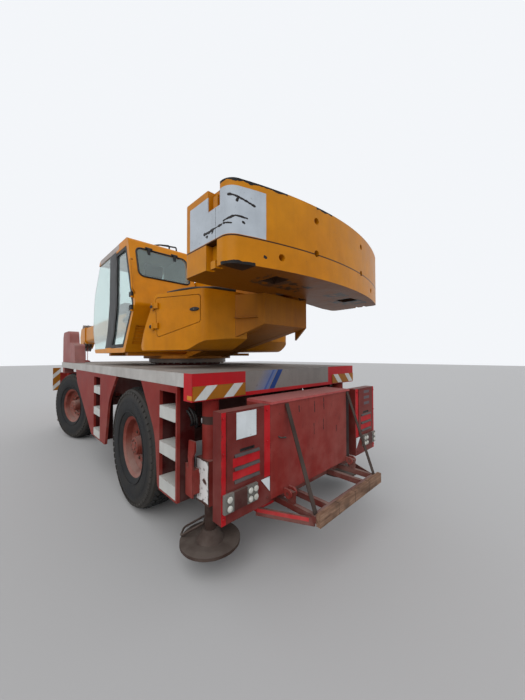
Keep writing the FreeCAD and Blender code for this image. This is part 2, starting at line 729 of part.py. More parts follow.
def cabinet(low_y, high_y):
    """An open-backed lamp cabinet with a folded rim behind its rear plate."""
    body = cuboid((-s.rear_face, -s.rear_face + s.cabinet_depth), (low_y, high_y), (s.cabinet_bottom, s.box_top))
    hollow = cuboid((-s.rear_face + s.cabinet_plate, -s.rear_face + s.cabinet_depth + 10),
                    (low_y + s.cabinet_plate, high_y - s.cabinet_plate),
                    (s.cabinet_bottom + s.cabinet_plate, s.box_top - s.cabinet_plate))
    return body.cut(hollow)


def cabinet_front(middle):
    """The raised panel, pull recess and louvres on a cabinet's rear plate."""
    wide = (middle - 183, middle + 183)
    low = s.cabinet_bottom + s.lamp_rise + s.lamp_height
    raised = cuboid((-s.rear_face - 6, -s.rear_face + 1), wide, (low + 20, s.box_top - 10))
    pull = cuboid((-s.rear_face - 10, -s.rear_face - 2), (middle - 60, middle + 40), (low + 265, low + 285))
    louvres = [side_prism(((-s.rear_face - 5, low + rise, 0), (-s.rear_face - 16, low + rise, 0), (-s.rear_face - 5, low + rise + 22, 0)),
                          middle - 135, middle + 115) for rise in (50, 140, 235)]
    return raised.cut(pull).multiFuse(louvres)


cabinet_left = cabinet(s.locker_left, s.cabinet_outer).fuse(cabinet_front(980))
cabinet_right = cabinet(-s.cabinet_outer, s.cabinet_width - s.cabinet_outer).fuse(cabinet_front(-975))
link = cuboid((-s.rear_face + s.cabinet_depth - 20, locker_front), (-s.locker_right - 200, -s.locker_right), (900, 1100))
node(solid("rear_cabinets", Part.makeCompound([cabinet_left, cabinet_right.fuse(link)])), "rear_cabinets")

lamps = []
lamp_low = s.cabinet_bottom + s.lamp_rise
LAMP_PARTS = (
    # start inwards from the lamp's outer end, width, lenses as (across, up) from its lower outer corner
    (0, 85, ((42, 34), (42, 96))), (86, 123, ()), (210, 105, ((26, 34), (26, 96), (79, 34), (79, 96))),
)
lamp_end = s.cabinet_outer - 10
for side in (1, -1):
    for start, width, lenses in LAMP_PARTS:
        across = sorted((side * (lamp_end - start), side * (lamp_end - start - width)))
        lamp = cuboid((-s.rear_face - s.lamp_depth, -s.rear_face), across, (lamp_low, lamp_low + s.lamp_height))
        for inwards, up in lenses:
            lens = (-s.rear_face - s.lamp_depth - 8, side * (lamp_end - start - inwards), lamp_low + up)
            lamp = lamp.fuse(round_bar(24, 10, lens, X))
        lamps.append(lamp)
for side in (1, -1):
    for offset in (560, 720):
        lamps.append(round_bar(70, s.lamp_depth, (s.bumper_front, side * offset, 1150), X))
node(solid("lamps", Part.makeCompound(lamps)), "lamps")

bumper_start = s.front_outrigger_station - sleeve_half + s.touch_gap
BUMPER = (
    (bumper_start, s.box_top, 0), (bumper_start, s.box_top - 50, 0),
    (s.bumper_front - 40, s.box_top - 50, 0), (s.bumper_front - 40, s.box_bottom + 130, 0),
    (s.bumper_front, s.box_bottom + 130, 25), (s.bumper_front, s.box_top, 60),
)
bumper = side_prism(BUMPER, -s.fender_outer, s.fender_outer)
cut_side = [cuboid((fender_end - 10, s.bumper_front - 40.5), sorted((side * 850, side * 1300)), (1000, 1500))
            for side in (1, -1)]
node(solid("front_bumper", bumper.cut(Part.makeCompound(cut_side))), "front_bumper")

# fold-down rack: a frame of flat bars with a timber edge, on pins through the locker's lugs

rack_low = s.rack_hinge_height - s.rack_drop
rack_outer = hinge_centre[0] - s.rack_reach
rack_inner = -215
bars = [
    cuboid((rack_outer, rack_outer + s.rack_bar), (-s.rack_half_width, s.rack_half_width), (rack_low, rack_low + s.rack_bar)),
    cuboid((rack_inner, rack_inner + 40), (-770, 770), (rack_low, rack_low + s.rack_bar)),
]
for middle in RACK_LUGS + (310, -310):
    bars.append(cuboid((rack_outer, rack_inner + 40), (middle - 20, middle + 20), (rack_low, rack_low + s.rack_bar)))
for side in (1, -1):
    brace = ((rack_outer + 20, side * 534, 0), (rack_outer + 32, side * 546, 0), (rack_inner + 6, side * 766, 0), (rack_inner + 2, side * 750, 0))
    bars.append(plan_prism(brace, rack_low - 35, rack_low + 35))
for middle in RACK_LUGS:
    bars.append(cuboid((hinge_centre[0] - 45, hinge_centre[0] + 18), (middle - 17, middle + 17), (rack_low, hinge_centre[1] + 18)))
    bars.append(round_bar(s.rack_pin_radius, 84, (hinge_centre[0], middle - 42, hinge_centre[1]), Y))
timber = cuboid((rack_outer - 40, rack_outer), (-s.rack_half_width, s.rack_half_width), (rack_low - 20, rack_low + 75))
node(solid("rack", bars[0].multiFuse(bars[1:])), "rack")
node(solid("rack_timber", timber), "rack_timber")

straps = []
strap_top = s.box_top - 15
for offset in (s.rack_half_width - 30, -s.rack_half_width + 30):
    start = FreeCAD.Vector(-s.rear_face - 3.6, offset, strap_top)
    end = FreeCAD.Vector(rack_outer + 25, offset, rack_low + s.rack_bar + 3)
    run = end - start
    strap = Part.makeBox(s.strap_plate, s.strap_width, run.Length, FreeCAD.Vector(-s.strap_plate / 2, -s.strap_width / 2, 0))
    turn = FreeCAD.Rotation(Z, run)
    strap.Placement = FreeCAD.Placement(start - FreeCAD.Vector(s.origin_station, 0, 0), turn)
    straps.append(strap)
node(solid("rack_straps", Part.makeCompound(straps)), "rack_straps")

# upper works: the table on the ring, two side plates, a sloping belly and the tail

ring_top = s.ring_base + s.ring_height + s.touch_gap
table_top = ring_top + s.table_plate
belly_foot = (s.slew_station - 560, table_top)
pin_x, pin_z = s.boom_pin_station, s.boom_pin
FRAME = (
    (s.tail_station, s.tail_top, 0), (s.tail_station, s.tail_low, 30), (belly_foot[0], ring_top, 200),
    (s.slew_station + 600, ring_top, 60), (s.slew_station + 760, s.ring_base + 240, 80), (2450, s.ring_base + 320, 150),
    (1900, s.ring_base + 490, 150), (pin_x + 430, pin_z - 200, 120), (pin_x + 290, pin_z + 160, 110),
    (pin_x - 230, pin_z + 160, 110), (560, s.tail_top, 60),
)
plates = []
for side in (1, -1):
    low, high = sorted((side * s.frame_half_width, side * (s.frame_half_width - s.frame_plate)))
    plates.append(side_prism(FRAME, low, high))
inner = s.frame_half_width - s.frame_plate
bowl_half = s.tail_half_width
belly = side_prism(((s.tail_station, s.tail_low + 35, 0), (s.tail_station, s.tail_low, 0), (belly_foot[0], ring_top + 8, 0),
                    (belly_foot[0] + 120, ring_top + 8, 0), (belly_foot[0] + 120, table_top - 2, 0)), -bowl_half, bowl_half)
tail_plate = cuboid((s.tail_station, s.tail_station + s.tail_plate), (-bowl_half, bowl_half), (s.tail_low, s.tail_top))
tail_top_plate = cuboid((s.tail_station, 520), (-bowl_half, bowl_half), (s.tail_top - s.tail_plate, s.tail_top))
bowl_outline = ((s.tail_station, s.tail_top, 0), (s.tail_station, s.tail_low, 0), (belly_foot[0] - 100, ring_top + 40, 0),
                (belly_foot[0] - 240, s.housing_bottom + 150, 60), (1300, s.tail_top, 60))
bowl_sides = []
for side in (1, -1):
    low, high = sorted((side * bowl_half, side * (bowl_half - s.tail_plate)))
    bowl_sides.append(side_prism(bowl_outline, low, high))
table = round_bar(s.table_radius, s.table_plate, (s.slew_station, 0, ring_top), Z)
boom_pin = round_bar(s.boom_pin_radius, 2 * inner, (s.boom_pin_station, -inner, s.boom_pin), Y)
barrel_lugs = []
for side in (1, -1):
    low, high = sorted((side * inner, side * 62))
    barrel_lugs.append(round_bar(70, high - low, (s.barrel_pin_station, low, s.barrel_pin), Y))
brackets = []
rear, shoulder = s.housing_rear, s.housing_shoulder
bracket_slope = side_prism(
    ((60, s.tail_low + 20, 0), (s.housing_rear + 20, s.tail_low - 140, 0), (s.housing_rear + 20, s.tail_top, 0), (60, s.tail_top, 0)), -900, 900)
for side in (1, -1):
    outline = (
        (rear, side * shoulder, 0), (s.tail_station, side * (bowl_half + 2), 0), (s.tail_station, side * (bowl_half - 5), 0),
        (s.tail_station + 50, side * (bowl_half - 5), 0), (rear, side * (shoulder - 32), 0),
    )
    ledge = ((rear, side * (shoulder - 12), 0), (rear - 20, side * (shoulder + 33), 0), (rear - 233, side * (shoulder - 87), 20),
             (rear - 213, side * (shoulder - 135), 0))
    brackets.append(plan_prism(outline, s.tail_low - 150, s.tail_top).common(bracket_slope))
    brackets.append(plan_prism(ledge, s.tail_low + 66, s.tail_low + 74))
drum_pin = round_bar(30, 2 * inner, (s.drum_station, -inner, s.drum_height), Y)
drum_cheeks = []
for side in (1, -1):
    low, high = sorted((side * s.frame_half_width, side * (s.frame_half_width - s.frame_plate)))
    cheek = ((120, s.tail_top, 0), (620, s.tail_top, 0), (620, s.drum_height - 160, 0),
             (s.drum_station + 100, s.drum_height + 80, 60), (s.drum_station - 100, s.drum_height + 80, 60))
    drum_cheeks.append(side_prism(cheek, low, high))
floor_arms = []
for station in (s.slew_station - 340, s.slew_station + 420):
    floor_arms.append(cuboid((station, station + 90), (-1060, 1080), (table_top - 5, s.cab_floor)))
frame_parts = plates[1:] + bowl_sides + [belly, tail_plate, tail_top_plate, table, boom_pin, drum_pin] + barrel_lugs + brackets + drum_cheeks
node(solid("turntable_frame", plates[0].multiFuse(frame_parts + floor_arms)), "turntable_frame")

# counterweight: two slabs whose tail follows the tail swing

WEIGHT = (
    (s.weight_front, s.weight_half_width, 70), (s.weight_front, 900, 60), (170, 420, 60),
    (170, s.frame_half_width + 12, 0), (20, s.frame_half_width + 12, 0), (20, -s.frame_half_width - 12, 0),
    (170, -s.frame_half_width - 12, 0), (170, -420, 60),
    (s.weight_front, -900, 60), (s.weight_front, -s.weight_half_width, 70), (-750, -s.weight_half_width, 0),
    (-750, s.weight_half_width, 0),
)
WEIGHT_POCKETS = (
    # slab, stations of the pocket in the slab's side, how far it reaches down, stations of its lug, lug's top over its foot
    ("upper", (-290, -135), 170, (-245, -190), 100),
    ("lower", (-255, -110), s.lower_slab, (-215, -155), 60),
)
WEIGHT_HOLES = (
    # offset to each side and height of the bores in the rear face
    (400, s.weight_top - 123), (400, s.weight_seam + 10), (770, s.weight_seam - 100),
)


def slab(name, low, high):
    tail_middle = s.weight_tail_radius - s.weight_tail_reach
    shape = plan_prism(WEIGHT, low, high).common(round_bar(s.weight_tail_radius, high - low, (tail_middle, 0, low), Z))
    for side, radius in ((1, 110), (-1, 60)):
        corners = [edge for edge in shape.Edges if abs(edge.BoundBox.ZLength - (high - low)) < 1
                   and edge.BoundBox.XLength < 1 and edge.BoundBox.Center.x < -200 - s.origin_station
                   and side * edge.BoundBox.Center.y > s.weight_half_width - 5]
        shape = shape.makeFillet(radius, corners)
    cuts, lugs = [], []
    for side in (1, -1):
        for owner, along, depth, lug_along, rise in WEIGHT_POCKETS:
            if owner == name:
                floor = high - depth
                inward = sorted((side * (s.weight_half_width - 60), side * (s.weight_half_width + 10)))
                cuts.append(cuboid(along, inward, (floor, high + 1)))
                lug = sorted((side * (s.weight_half_width - 61), side * (s.weight_half_width - 12)))
                lugs.append(cuboid(lug_along, lug, (floor, floor + rise)))
        for offset, up in WEIGHT_HOLES:
            cuts.append(round_bar(28, 180, (-700, side * offset, up), X).fuse(
                round_bar(28, 90 + s.weight_tail_reach - tail_inset(offset), (-s.weight_tail_reach - 10, side * offset, up), X)))
    if name == "lower":
        for side in (1, -1):
            cuts.append(cuboid((-385, -200), sorted((side * 530, side * 700)), (low - 1, low + 60)))
    return shape.cut(Part.makeCompound(cuts)).multiFuse(lugs)


def tail_inset(offset):
    """How far ahead of the tail's rearmost line the rear face lies at an offset from the middle, taken from its reach."""
    return s.weight_tail_reach - (s.weight_tail_radius - math.sqrt(s.weight_tail_radius ** 2 - offset ** 2))


node(solid("counterweight_lower", slab("lower", s.tail_top, s.weight_seam)), "counterweight_lower")
node(solid("counterweight_upper", slab("upper", s.weight_seam, s.weight_top)), "counterweight_upper")

# winch drum behind the boom's foot

drum = revolved("winch_drum", (
    (-s.drum_width / 2, 30.4), (-s.drum_width / 2, s.drum_radius + 30), (-s.drum_width / 2 + 20, s.drum_radius + 30),
    (-s.drum_width / 2 + 20, s.drum_radius - 20), (s.drum_width / 2 - 20, s.drum_radius - 20),
    (s.drum_width / 2 - 20, s.drum_radius + 30), (s.drum_width / 2, s.drum_radius + 30), (s.drum_width / 2, 30.4),
))
drum.Placement.Base = FreeCAD.Vector(s.drum_station - s.origin_station, 0, s.drum_height)
node(drum, "winch_drum")

# housings beside the frame: hollow moulded covers, the left one with a hinged door

def taper_offset(station):
    """The left cover's side runs in towards the rear from its turn."""
    return s.housing_side - (s.housing_turn - station) * math.tan(math.radians(s.housing_taper))


LEFT_PLAN = (
    # station, offset, corner radius
    (s.housing_front + 250, s.tail_half_width, 0), (s.housing_front + 250, s.housing_side, 0), (s.housing_turn, s.housing_side, 200),
    (s.housing_corner, taper_offset(s.housing_corner), 110), (s.housing_rear, s.housing_shoulder, 40),
    (s.housing_rear, s.tail_half_width, 0),
)
LEFT_SIDE = (
    # station, height, corner radius
    (s.housing_rear - 60, s.housing_top, 0), (s.housing_rear - 60, s.housing_bottom + 153, 0), (s.housing_belly, s.housing_bottom, 200),
    (s.housing_front, s.housing_bottom, 50), (s.housing_front - s.housing_front_slant, s.housing_top, 60),
)
RIGHT_PLAN = (
    (s.right_housing_front + 250, s.tail_half_width, 0), (s.right_housing_front + 250, s.right_housing_side, 0),
    (s.right_housing_rear, s.right_housing_side, 140), (s.right_housing_rear, s.tail_half_width, 0),
)
RIGHT_SIDE = (
    (s.right_housing_rear - 60, s.housing_top, 0), (s.right_housing_rear - 60, s.housing_bottom + 200, 0),
    (s.right_housing_rear + 220, s.housing_bottom, 200), (s.right_housing_front, s.housing_bottom, 50),
    (s.right_housing_front, s.housing_top, 90),
)
DOOR = (
    (1070, s.housing_top - 45, 30), (446, s.housing_top - 65, 30), (446, s.housing_bottom + 285, 30), (1040, s.housing_bottom + 145, 30),
)


def housing(side, plan):
    """A moulded cover from its side and plan outlines, hollow by its wall."""
    inner_side, inner_plan = inset(side, s.housing_wall), inset(plan, s.housing_wall)
    outer = side_prism(side, 0, 1500).common(plan_prism(plan, s.housing_bottom - 50, s.housing_top + 50))
    return outer.cut(side_prism(inner_side, 0, 1500).common(plan_prism(inner_plan, s.housing_bottom - 50, s.housing_top + 50)))


def on_taper(shape):
    """Turns a piece made on the straight wall on to the left cover's tapered side."""
    turn = FreeCAD.Vector(s.housing_turn - s.origin_station, s.housing_side, 0)
    return shape.rotate(turn, Z, s.housing_taper)


doorway = on_taper(side_prism(inset(DOOR, -s.door_gap), s.housing_side - s.housing_wall - 40, s.housing_side + 50))
door = on_taper(side_prism(DOOR, s.housing_side - s.housing_wall, s.housing_side))


def hinge(station, wall, levels, reach, back):
    """Pins and lugs on the fixed side and barrels with straps on the leaf, outside a wall at the given offset."""
    y = wall + s.hinge_barrel + s.touch_gap
    fixed, leaf = [], []
    for low in levels:
        foot = low - s.hinge_barrel
        fixed.append(round_bar(s.hinge_pin, HINGE_LEAF + s.hinge_barrel, (station, y, foot), Z))
        fixed.append(round_bar(s.hinge_barrel, s.hinge_barrel - s.touch_gap, (station, y, foot), Z))
        fixed.append(cuboid(sorted((station, station + back)), (wall - 6, y + 6), (foot, low - s.touch_gap)))
        barrel = round_bar(s.hinge_barrel, HINGE_LEAF, (station, y, low), Z)
        strap = cuboid(sorted((station, station + reach)), (wall + s.touch_gap, y + 6), (low, low + HINGE_LEAF))
        pad = cuboid(sorted((station + reach, station + 0.72 * reach)), (wall - 5, y), (low, low + HINGE_LEAF))
        bore = round_bar(s.hinge_pin + s.pin_clearance, HINGE_LEAF, (station, y, low), Z)
        leaf += [barrel.fuse(strap).cut(bore), pad]
    return fixed, leaf


HINGE_LEAF = 60
fixed, leaf = hinge(s.housing_hinge_station, s.housing_side, (s.ring_base + 400, s.ring_base + 620), -80, 12)
left_cover = housing(LEFT_SIDE, LEFT_PLAN).cut(doorway)
node(solid("housing_left", left_cover.multiFuse([on_taper(piece) for piece in fixed])), "housing_left")
node(solid("housing_door", door.multiFuse([on_taper(piece) for piece in leaf])), "housing_door")
node(solid("housing_right", flipped(housing(RIGHT_SIDE, RIGHT_PLAN))), "housing_right")

# cab: floor, posts and roof in one shell, open at its door and windows

floor, roof, waist = s.cab_floor, s.cab_roof, s.cab_floor + 600
CAB = (
    # station, height, corner radius
    (s.cab_rear + 375, floor, 40), (s.cab_front - 210, floor, 60), (s.cab_front, floor + 375, 300),
    (s.cab_front - 80, roof - 540, 500), (s.cab_front - 440, roof - 30, 60), (s.cab_front - 490, roof, 40),
    (s.cab_rear + 300, roof, 60), (s.cab_rear, waist, 60),
)
CAB_DOORWAY = (
    (s.cab_rear + 430, floor + s.cab_sill, 20), (2565, floor + s.cab_sill, 20), (2435, floor + 305, 150), (2335, waist + 55, 200),
    (2335, roof - 105, 20), (s.cab_rear + 345, roof - 105, 30), (s.cab_rear + 58, waist, 60),
)
CAB_QUARTER = (
    (2840, floor + s.cab_sill, 0), (s.cab_front + 160, floor + s.cab_sill, 0), (s.cab_front + 160, roof - s.cab_header, 0),
    (2615, roof - s.cab_header, 0), (2627, waist + 143, 200), (2715, floor + 321, 150),
)
REAR_WINDOW = (
    # offset, height, corner radius
    (s.cab_inner + 90, roof - 525, 60), (s.cab_side - 95, roof - 525, 60), (s.cab_side - 95, roof - 135, 60), (s.cab_inner + 90, roof - 135, 60),
)
VENT = ((s.cab_side - 70, s.cab_side - 530), (floor + 115, floor + 345))

shell = side_prism(CAB, s.cab_inner, s.cab_side)
hollow = side_prism(inset(CAB, s.cab_wall), s.cab_inner + s.cab_wall, s.cab_side - s.cab_wall)
inner_window = inset(CAB_QUARTER, 50)[:1] + ((3350, floor + s.cab_sill + 50, 60), (3440, floor + 430, 200), (3350, roof - 560, 300),
                                             (3090, roof - s.cab_header - 50, 60)) + inset(CAB_QUARTER, 50)[3:]
windscreen = cuboid((3100, s.cab_front + 160), (s.cab_inner + 70, s.cab_side + 20), (floor + s.cab_sill, roof - s.cab_header))
rear_window = rear_prism(REAR_WINDOW, 1500, 2050)
vent = cuboid((1500, 2050), sorted(VENT[0]), VENT[1]).common(
    side_prism(CAB, 0, 1500).cut(side_prism(inset(CAB, 14), -10, 1510)))
openings = [
    side_prism(CAB_DOORWAY, s.cab_side - s.cab_wall - 20, s.cab_side + 20),
    side_prism(CAB_QUARTER, s.cab_side - s.cab_wall - 20, s.cab_side + 20),
    side_prism(inner_window, s.cab_inner - 20, s.cab_inner + s.cab_wall + 20),
    windscreen, rear_window, vent,
]
shell = shell.cut(hollow).cut(Part.makeCompound(openings))
slats = [cuboid((1500, 2050), sorted(VENT[0]), (VENT[1][0] + rise, VENT[1][0] + rise + 12)).common(
    side_prism(inset(CAB, 3), 0, 1500).cut(side_prism(inset(CAB, 16), -10, 1510))) for rise in (38, 80, 122, 164, 204)]
hatch = plan_prism(((2230, s.cab_inner + 110, 60), (3150 - 60, s.cab_inner + 110, 60), (3150 - 60, s.cab_side - 110, 60), (2230, s.cab_side - 110, 60)),
                   roof - 1, roof + s.hatch_height)
fixed, leaf = hinge(s.cab_hinge_station, s.cab_side, (waist - 75, waist + 95), 90, 16)
node(solid("cab_shell", shell.multiFuse(fixed + slats + [hatch])), "cab_shell")

door_frame = inset(CAB_DOORWAY, s.door_gap)
door_window = inset(CAB_DOORWAY, s.door_gap + s.cab_door_frame)
node(
    solid("cab_door", side_prism(door_frame, s.cab_side - s.cab_wall, s.cab_side).cut(
        side_prism(door_window, 0, 2000)).multiFuse(leaf)),
    "cab_door",
)
node(solid("door_glass", side_prism(door_window, s.cab_side - 25, s.cab_side - 25 + s.cab_glass)), "door_glass")
glass_skin = side_prism(CAB, s.cab_inner, s.cab_side).cut(side_prism(inset(CAB, s.cab_glass), 0, 2000))
side_pane = side_prism(inset(CAB, s.touch_gap), s.cab_side - 20, s.cab_side - 20 + s.cab_glass).common(
    side_prism(inset(CAB_QUARTER, s.touch_gap), 0, 2000))
front_pane = glass_skin.common(cuboid(
    (3100, s.cab_front + 160), (s.cab_inner + 70 + s.touch_gap, s.cab_side - 20 + s.cab_glass),
    (floor + s.cab_sill + s.touch_gap, roof - s.cab_header - s.touch_gap)))
pane_rows = (
    side_pane.fuse(front_pane),
    side_prism(inset(inner_window, s.touch_gap), s.cab_inner + 12, s.cab_inner + 12 + s.cab_glass),
    glass_skin.common(rear_prism(inset(REAR_WINDOW, s.touch_gap), 1500, 2050)),
)
node(solid("cab_glass", Part.makeCompound(pane_rows)), "cab_glass")

chair = [
    cuboid((2120, 2600), (475, 975), (floor + 445, floor + 565)),
    side_prism(((2050, floor + 515, 30), (2190, floor + 515, 30), (2080, floor + 1085, 40), (1960, floor + 1085, 40)), 495, 955),
    side_prism(((1985, floor + 1065, 20), (2060, floor + 1065, 20), (2030, floor + 1285, 25), (1955, floor + 1285, 25)), 580, 870),
    cuboid((2200, 2520), (565, 885), (floor + s.cab_wall, floor + 450)),
]
node(solid("operator_chair", chair[0].multiFuse(chair[1:])), "operator_chair")
console = [
    cuboid((2150, 2650), (300, 400), (floor + s.cab_wall, floor + 695)),
    cuboid((2150, 2600), (985, 1060), (floor + 575, floor + 695)),
    cuboid((2200, 2300), (975 + s.touch_gap, 990), (floor + 465, floor + 625)),
    round_bar(14, 180, (2560, 350, floor + 690), Z),
    round_bar(14, 180, (2540, 1020, floor + 690), Z),
]
node(solid("cab_console", Part.makeCompound([console[0].fuse(console[3]), console[1].multiFuse([console[2], console[4]])])), "cab_console")

# boom: built level over its foot pin, then pitched nose down

boom_turn = FreeCAD.Rotation(Y, s.boom_pitch)
boom_place = FreeCAD.Placement(FreeCAD.Vector(s.boom_pin_station - s.origin_station, 0, s.boom_pin), boom_turn)


def boom_node(name, shape):
    feature = solid(name, shape)
    feature.Placement = boom_place
    return node(feature, name)


def section(inset, start, end):
    """A boom section's outline, inset from the base section's, with larger lower corners."""
    half_wide = s.boom_half_width - inset
    low, high = -s.boom_below_pin + inset, s.boom_above_pin - inset
    outline = ((-half_wide, low, 90), (half_wide, low, 90), (half_wide, high, 35), (-half_wide, high, 35))
    wire = face(outline, lambda p: FreeCAD.Vector(start, p.x, p.y))
    return wire.extrude(FreeCAD.Vector(end - start, 0, 0))


def bar(x, y, z):
    return Part.makeBox(x[1] - x[0], y[1] - y[0], z[1] - z[0], FreeCAD.Vector(x[0], y[0], z[0]))


step = s.boom_wall + s.boom_gap
base = section(0, -s.boom_tail, s.boom_base_length).cut(section(s.boom_wall, 250, s.boom_base_length + 10))
collar = section(-s.collar_rise, s.boom_base_length - s.collar_length, s.boom_base_length + 20)
collar = collar.cut(section(step - s.touch_gap, s.boom_base_length - s.collar_length - 10, s.boom_base_length + 30))
pin_bore = Part.makeCylinder(s.boom_pin_radius + s.pin_clearance, 800, FreeCAD.Vector(0, -400, 0), Y)
rod_eye = boom_turn.inverted().multVec(
    FreeCAD.Vector(s.rod_pin_station - s.boom_pin_station, 0, s.rod_pin - s.boom_pin)
)
ears = []
for side in (1, -1):
    low, high = sorted((side * 78, side * 110))
    ear = face(((rod_eye.x - 190, -s.boom_below_pin + 4, 0), (rod_eye.x - 90, rod_eye.z - 80, 60),
                (rod_eye.x + 90, rod_eye.z - 80, 60), (rod_eye.x + 190, -s.boom_below_pin + 4, 0)),
               lambda p: FreeCAD.Vector(p.x, low, p.y))
    ears.append(ear.extrude(FreeCAD.Vector(0, high - low, 0)))
boom_node("boom_base", base.multiFuse([collar] + ears).cut(pin_bore))

middle_tail = 700
middle = section(step, middle_tail, s.boom_middle_nose).cut(
    section(step + s.boom_wall, middle_tail - 10, s.boom_middle_nose + 10))
middle_pads = section(s.boom_wall + s.touch_gap, middle_tail, middle_tail + 120).cut(
    section(step + 2, middle_tail - 10, middle_tail + 200))
middle_collar = section(step - s.collar_rise, s.boom_middle_nose - s.collar_length, s.boom_middle_nose).cut(
    section(2 * step - s.touch_gap, s.boom_middle_nose - s.collar_length - 10, s.boom_middle_nose + 10))
boom_node("boom_middle", middle.multiFuse([middle_pads, middle_collar]))

top_tail = 900
top = section(2 * step, top_tail, s.boom_top_nose).cut(section(2 * step + s.boom_wall, top_tail - 10, s.boom_top_nose - 30))
top_pads = section(step + s.boom_wall + s.touch_gap, top_tail, top_tail + 120).cut(
    section(2 * step + 2, top_tail - 10, top_tail + 200))
head_half = 169
SHEAVES = (
    # along the boom, above its pin line
    (s.boom_top_nose + 290, -s.sheave_drop), (s.boom_top_nose + 170, s.boom_above_pin + 40),
)
nose, head_low, head_high = s.boom_top_nose, -s.sheave_drop - 65, s.boom_above_pin + 60
HEAD = (
    (nose - 160, 52 - s.boom_below_pin, 0), (nose + 190, head_low, 60), (nose + 375, head_low, 80), (nose + 420, 40, 120),
    (nose + 260, head_high, 90), (nose + 40, head_high, 70), (nose - 160, s.boom_above_pin - 52, 0),
)
cheeks = []
for side in (1, -1):
    low, high = sorted((side * head_half, side * (head_half - 25)))
    cheek = face(HEAD, lambda p: FreeCAD.Vector(p.x, low, p.y))
    cheeks.append(cheek.extrude(FreeCAD.Vector(0, high - low, 0)))
sheave_pins = [Part.makeCylinder(32, 2 * head_half, FreeCAD.Vector(x, -head_half, z), Y) for x, z in SHEAVES]
boom_node("boom_top", top.multiFuse([top_pads] + cheeks + sheave_pins))

sheaves = []
for x, z in SHEAVES:
    for offset in (-125, -s.sheave_width / 2, 65):
        sheave = Part.makeCylinder(s.sheave_radius, s.sheave_width, FreeCAD.Vector(x, offset, z), Y)
        groove = Part.makeTorus(s.sheave_radius - s.groove_depth + s.groove_radius, s.groove_radius,
                                FreeCAD.Vector(x, offset + s.sheave_width / 2, z), Y)
        bore = Part.makeCylinder(32.3, 400, FreeCAD.Vector(x, -200, z), Y)
        sheaves.append(sheave.cut(groove).cut(bore))
boom_node("head_sheaves", Part.makeCompound(sheaves))

# hook block, hung close under the head

hook_x, hook_z = SHEAVES[0]
head_pin = boom_place.multVec(FreeCAD.Vector(hook_x, 0, hook_z))
hook_station = head_pin.x + s.origin_station
block_top = head_pin.z - s.sheave_radius - s.hook_drop
cheek_rows = ((hook_station - 150, block_top, 70), (hook_station + 150, block_top, 70),
              (hook_station + 165, block_top - 260, 60), (hook_station + 70, block_top - s.hook_block_height, 40),
              (hook_station - 70, block_top - s.hook_block_height, 40), (hook_station - 165, block_top - 260, 60))
block_body = side_prism(cheek_rows, -90, 90)
fall_reach = s.sheave_radius - s.groove_depth + s.touch_gap + s.rope_radius
falls = [round_bar(s.rope_radius, s.hook_drop + s.sheave_radius, (hook_station + across, 0, block_top - 5), Z)
         for across in (-fall_reach, fall_reach)]
shank = round_bar(36, 110, (hook_station, 0, block_top - s.hook_block_height - 100), Z)
hook_ring = Part.makeTorus(95, 34, FreeCAD.Vector(hook_station - s.origin_station, 0, block_top - s.hook_block_height - 175), Y)
mouth = cuboid((hook_station + 30, hook_station + 140), (-60, 60),
               (block_top - s.hook_block_height - 160, block_top - s.hook_block_height - 60))
yoke = cuboid((hook_station - s.sheave_radius - 22, hook_station + s.sheave_radius + 22), (-40, 40), (block_top - 60, block_top + 15))
hook_ring = hook_ring.cut(mouth)
node(solid("hook_block", block_body.multiFuse([yoke, shank, hook_ring] + falls)), "hook_block")

# luffing cylinder: a barrel on the frame and a rod under the boom

barrel_pin = FreeCAD.Vector(s.barrel_pin_station, 0, s.barrel_pin)
eye_pin = FreeCAD.Vector(s.rod_pin_station, 0, s.rod_pin)
ram_run = eye_pin - barrel_pin
ram_turn = FreeCAD.Rotation(X, ram_run)
ram_place = FreeCAD.Placement(barrel_pin - FreeCAD.Vector(s.origin_station, 0, 0), ram_turn)
barrel_length = ram_run.Length - 230
barrel = Part.makeCylinder(s.barrel_radius, barrel_length - 78, FreeCAD.Vector(78, 0, 0), X)
gland = Part.makeCylinder(s.barrel_radius + 12, 60, FreeCAD.Vector(barrel_length - 60, 0, 0), X)
barrel_eye = Part.makeCylinder(85, 116, FreeCAD.Vector(0, -58, 0), Y)
rod_bore = Part.makeCylinder(s.rod_radius + s.pin_clearance, barrel_length, FreeCAD.Vector(150, 0, 0), X)
barrel_pin_bar = Part.makeCylinder(48, 2 * (62 - s.touch_gap), FreeCAD.Vector(0, s.touch_gap - 62, 0), Y)
barrel_feature = solid("luff_barrel", barrel.multiFuse([gland, barrel_eye, barrel_pin_bar]).cut(rod_bore))
barrel_feature.Placement = ram_place
node(barrel_feature, "luff_barrel")
piston_rod = Part.makeCylinder(s.rod_radius, ram_run.Length - 240, FreeCAD.Vector(180, 0, 0), X)
eye = Part.makeCylinder(80, 140, FreeCAD.Vector(ram_run.Length, -70, 0), Y)
eye_bar = Part.makeCylinder(38, 155, FreeCAD.Vector(ram_run.Length, -77.5, 0), Y)
rod_feature = solid("luff_rod", piston_rod.multiFuse([eye, eye_bar]))
rod_feature.Placement = ram_place
node(rod_feature, "luff_rod")

# check and write

doc.recompute()
for feature in doc.Objects:
    if any(word in feature.State for word in ("Invalid", "Error")):
        raise RuntimeError(f"{feature.Label} did not build: {feature.State}")
os.makedirs("parts", exist_ok=True)
for feature in NODES:
    if feature.Shape.isNull() or not feature.Shape.isValid():
        raise RuntimeError(f"{feature.Label} has no valid shape")
    feature.Shape.exportStep(f"parts/{feature.Label}.step")
print(len(NODES), "nodes written")
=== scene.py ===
import json
import math
import bmesh
import bpy
from mathutils import Matrix, Vector


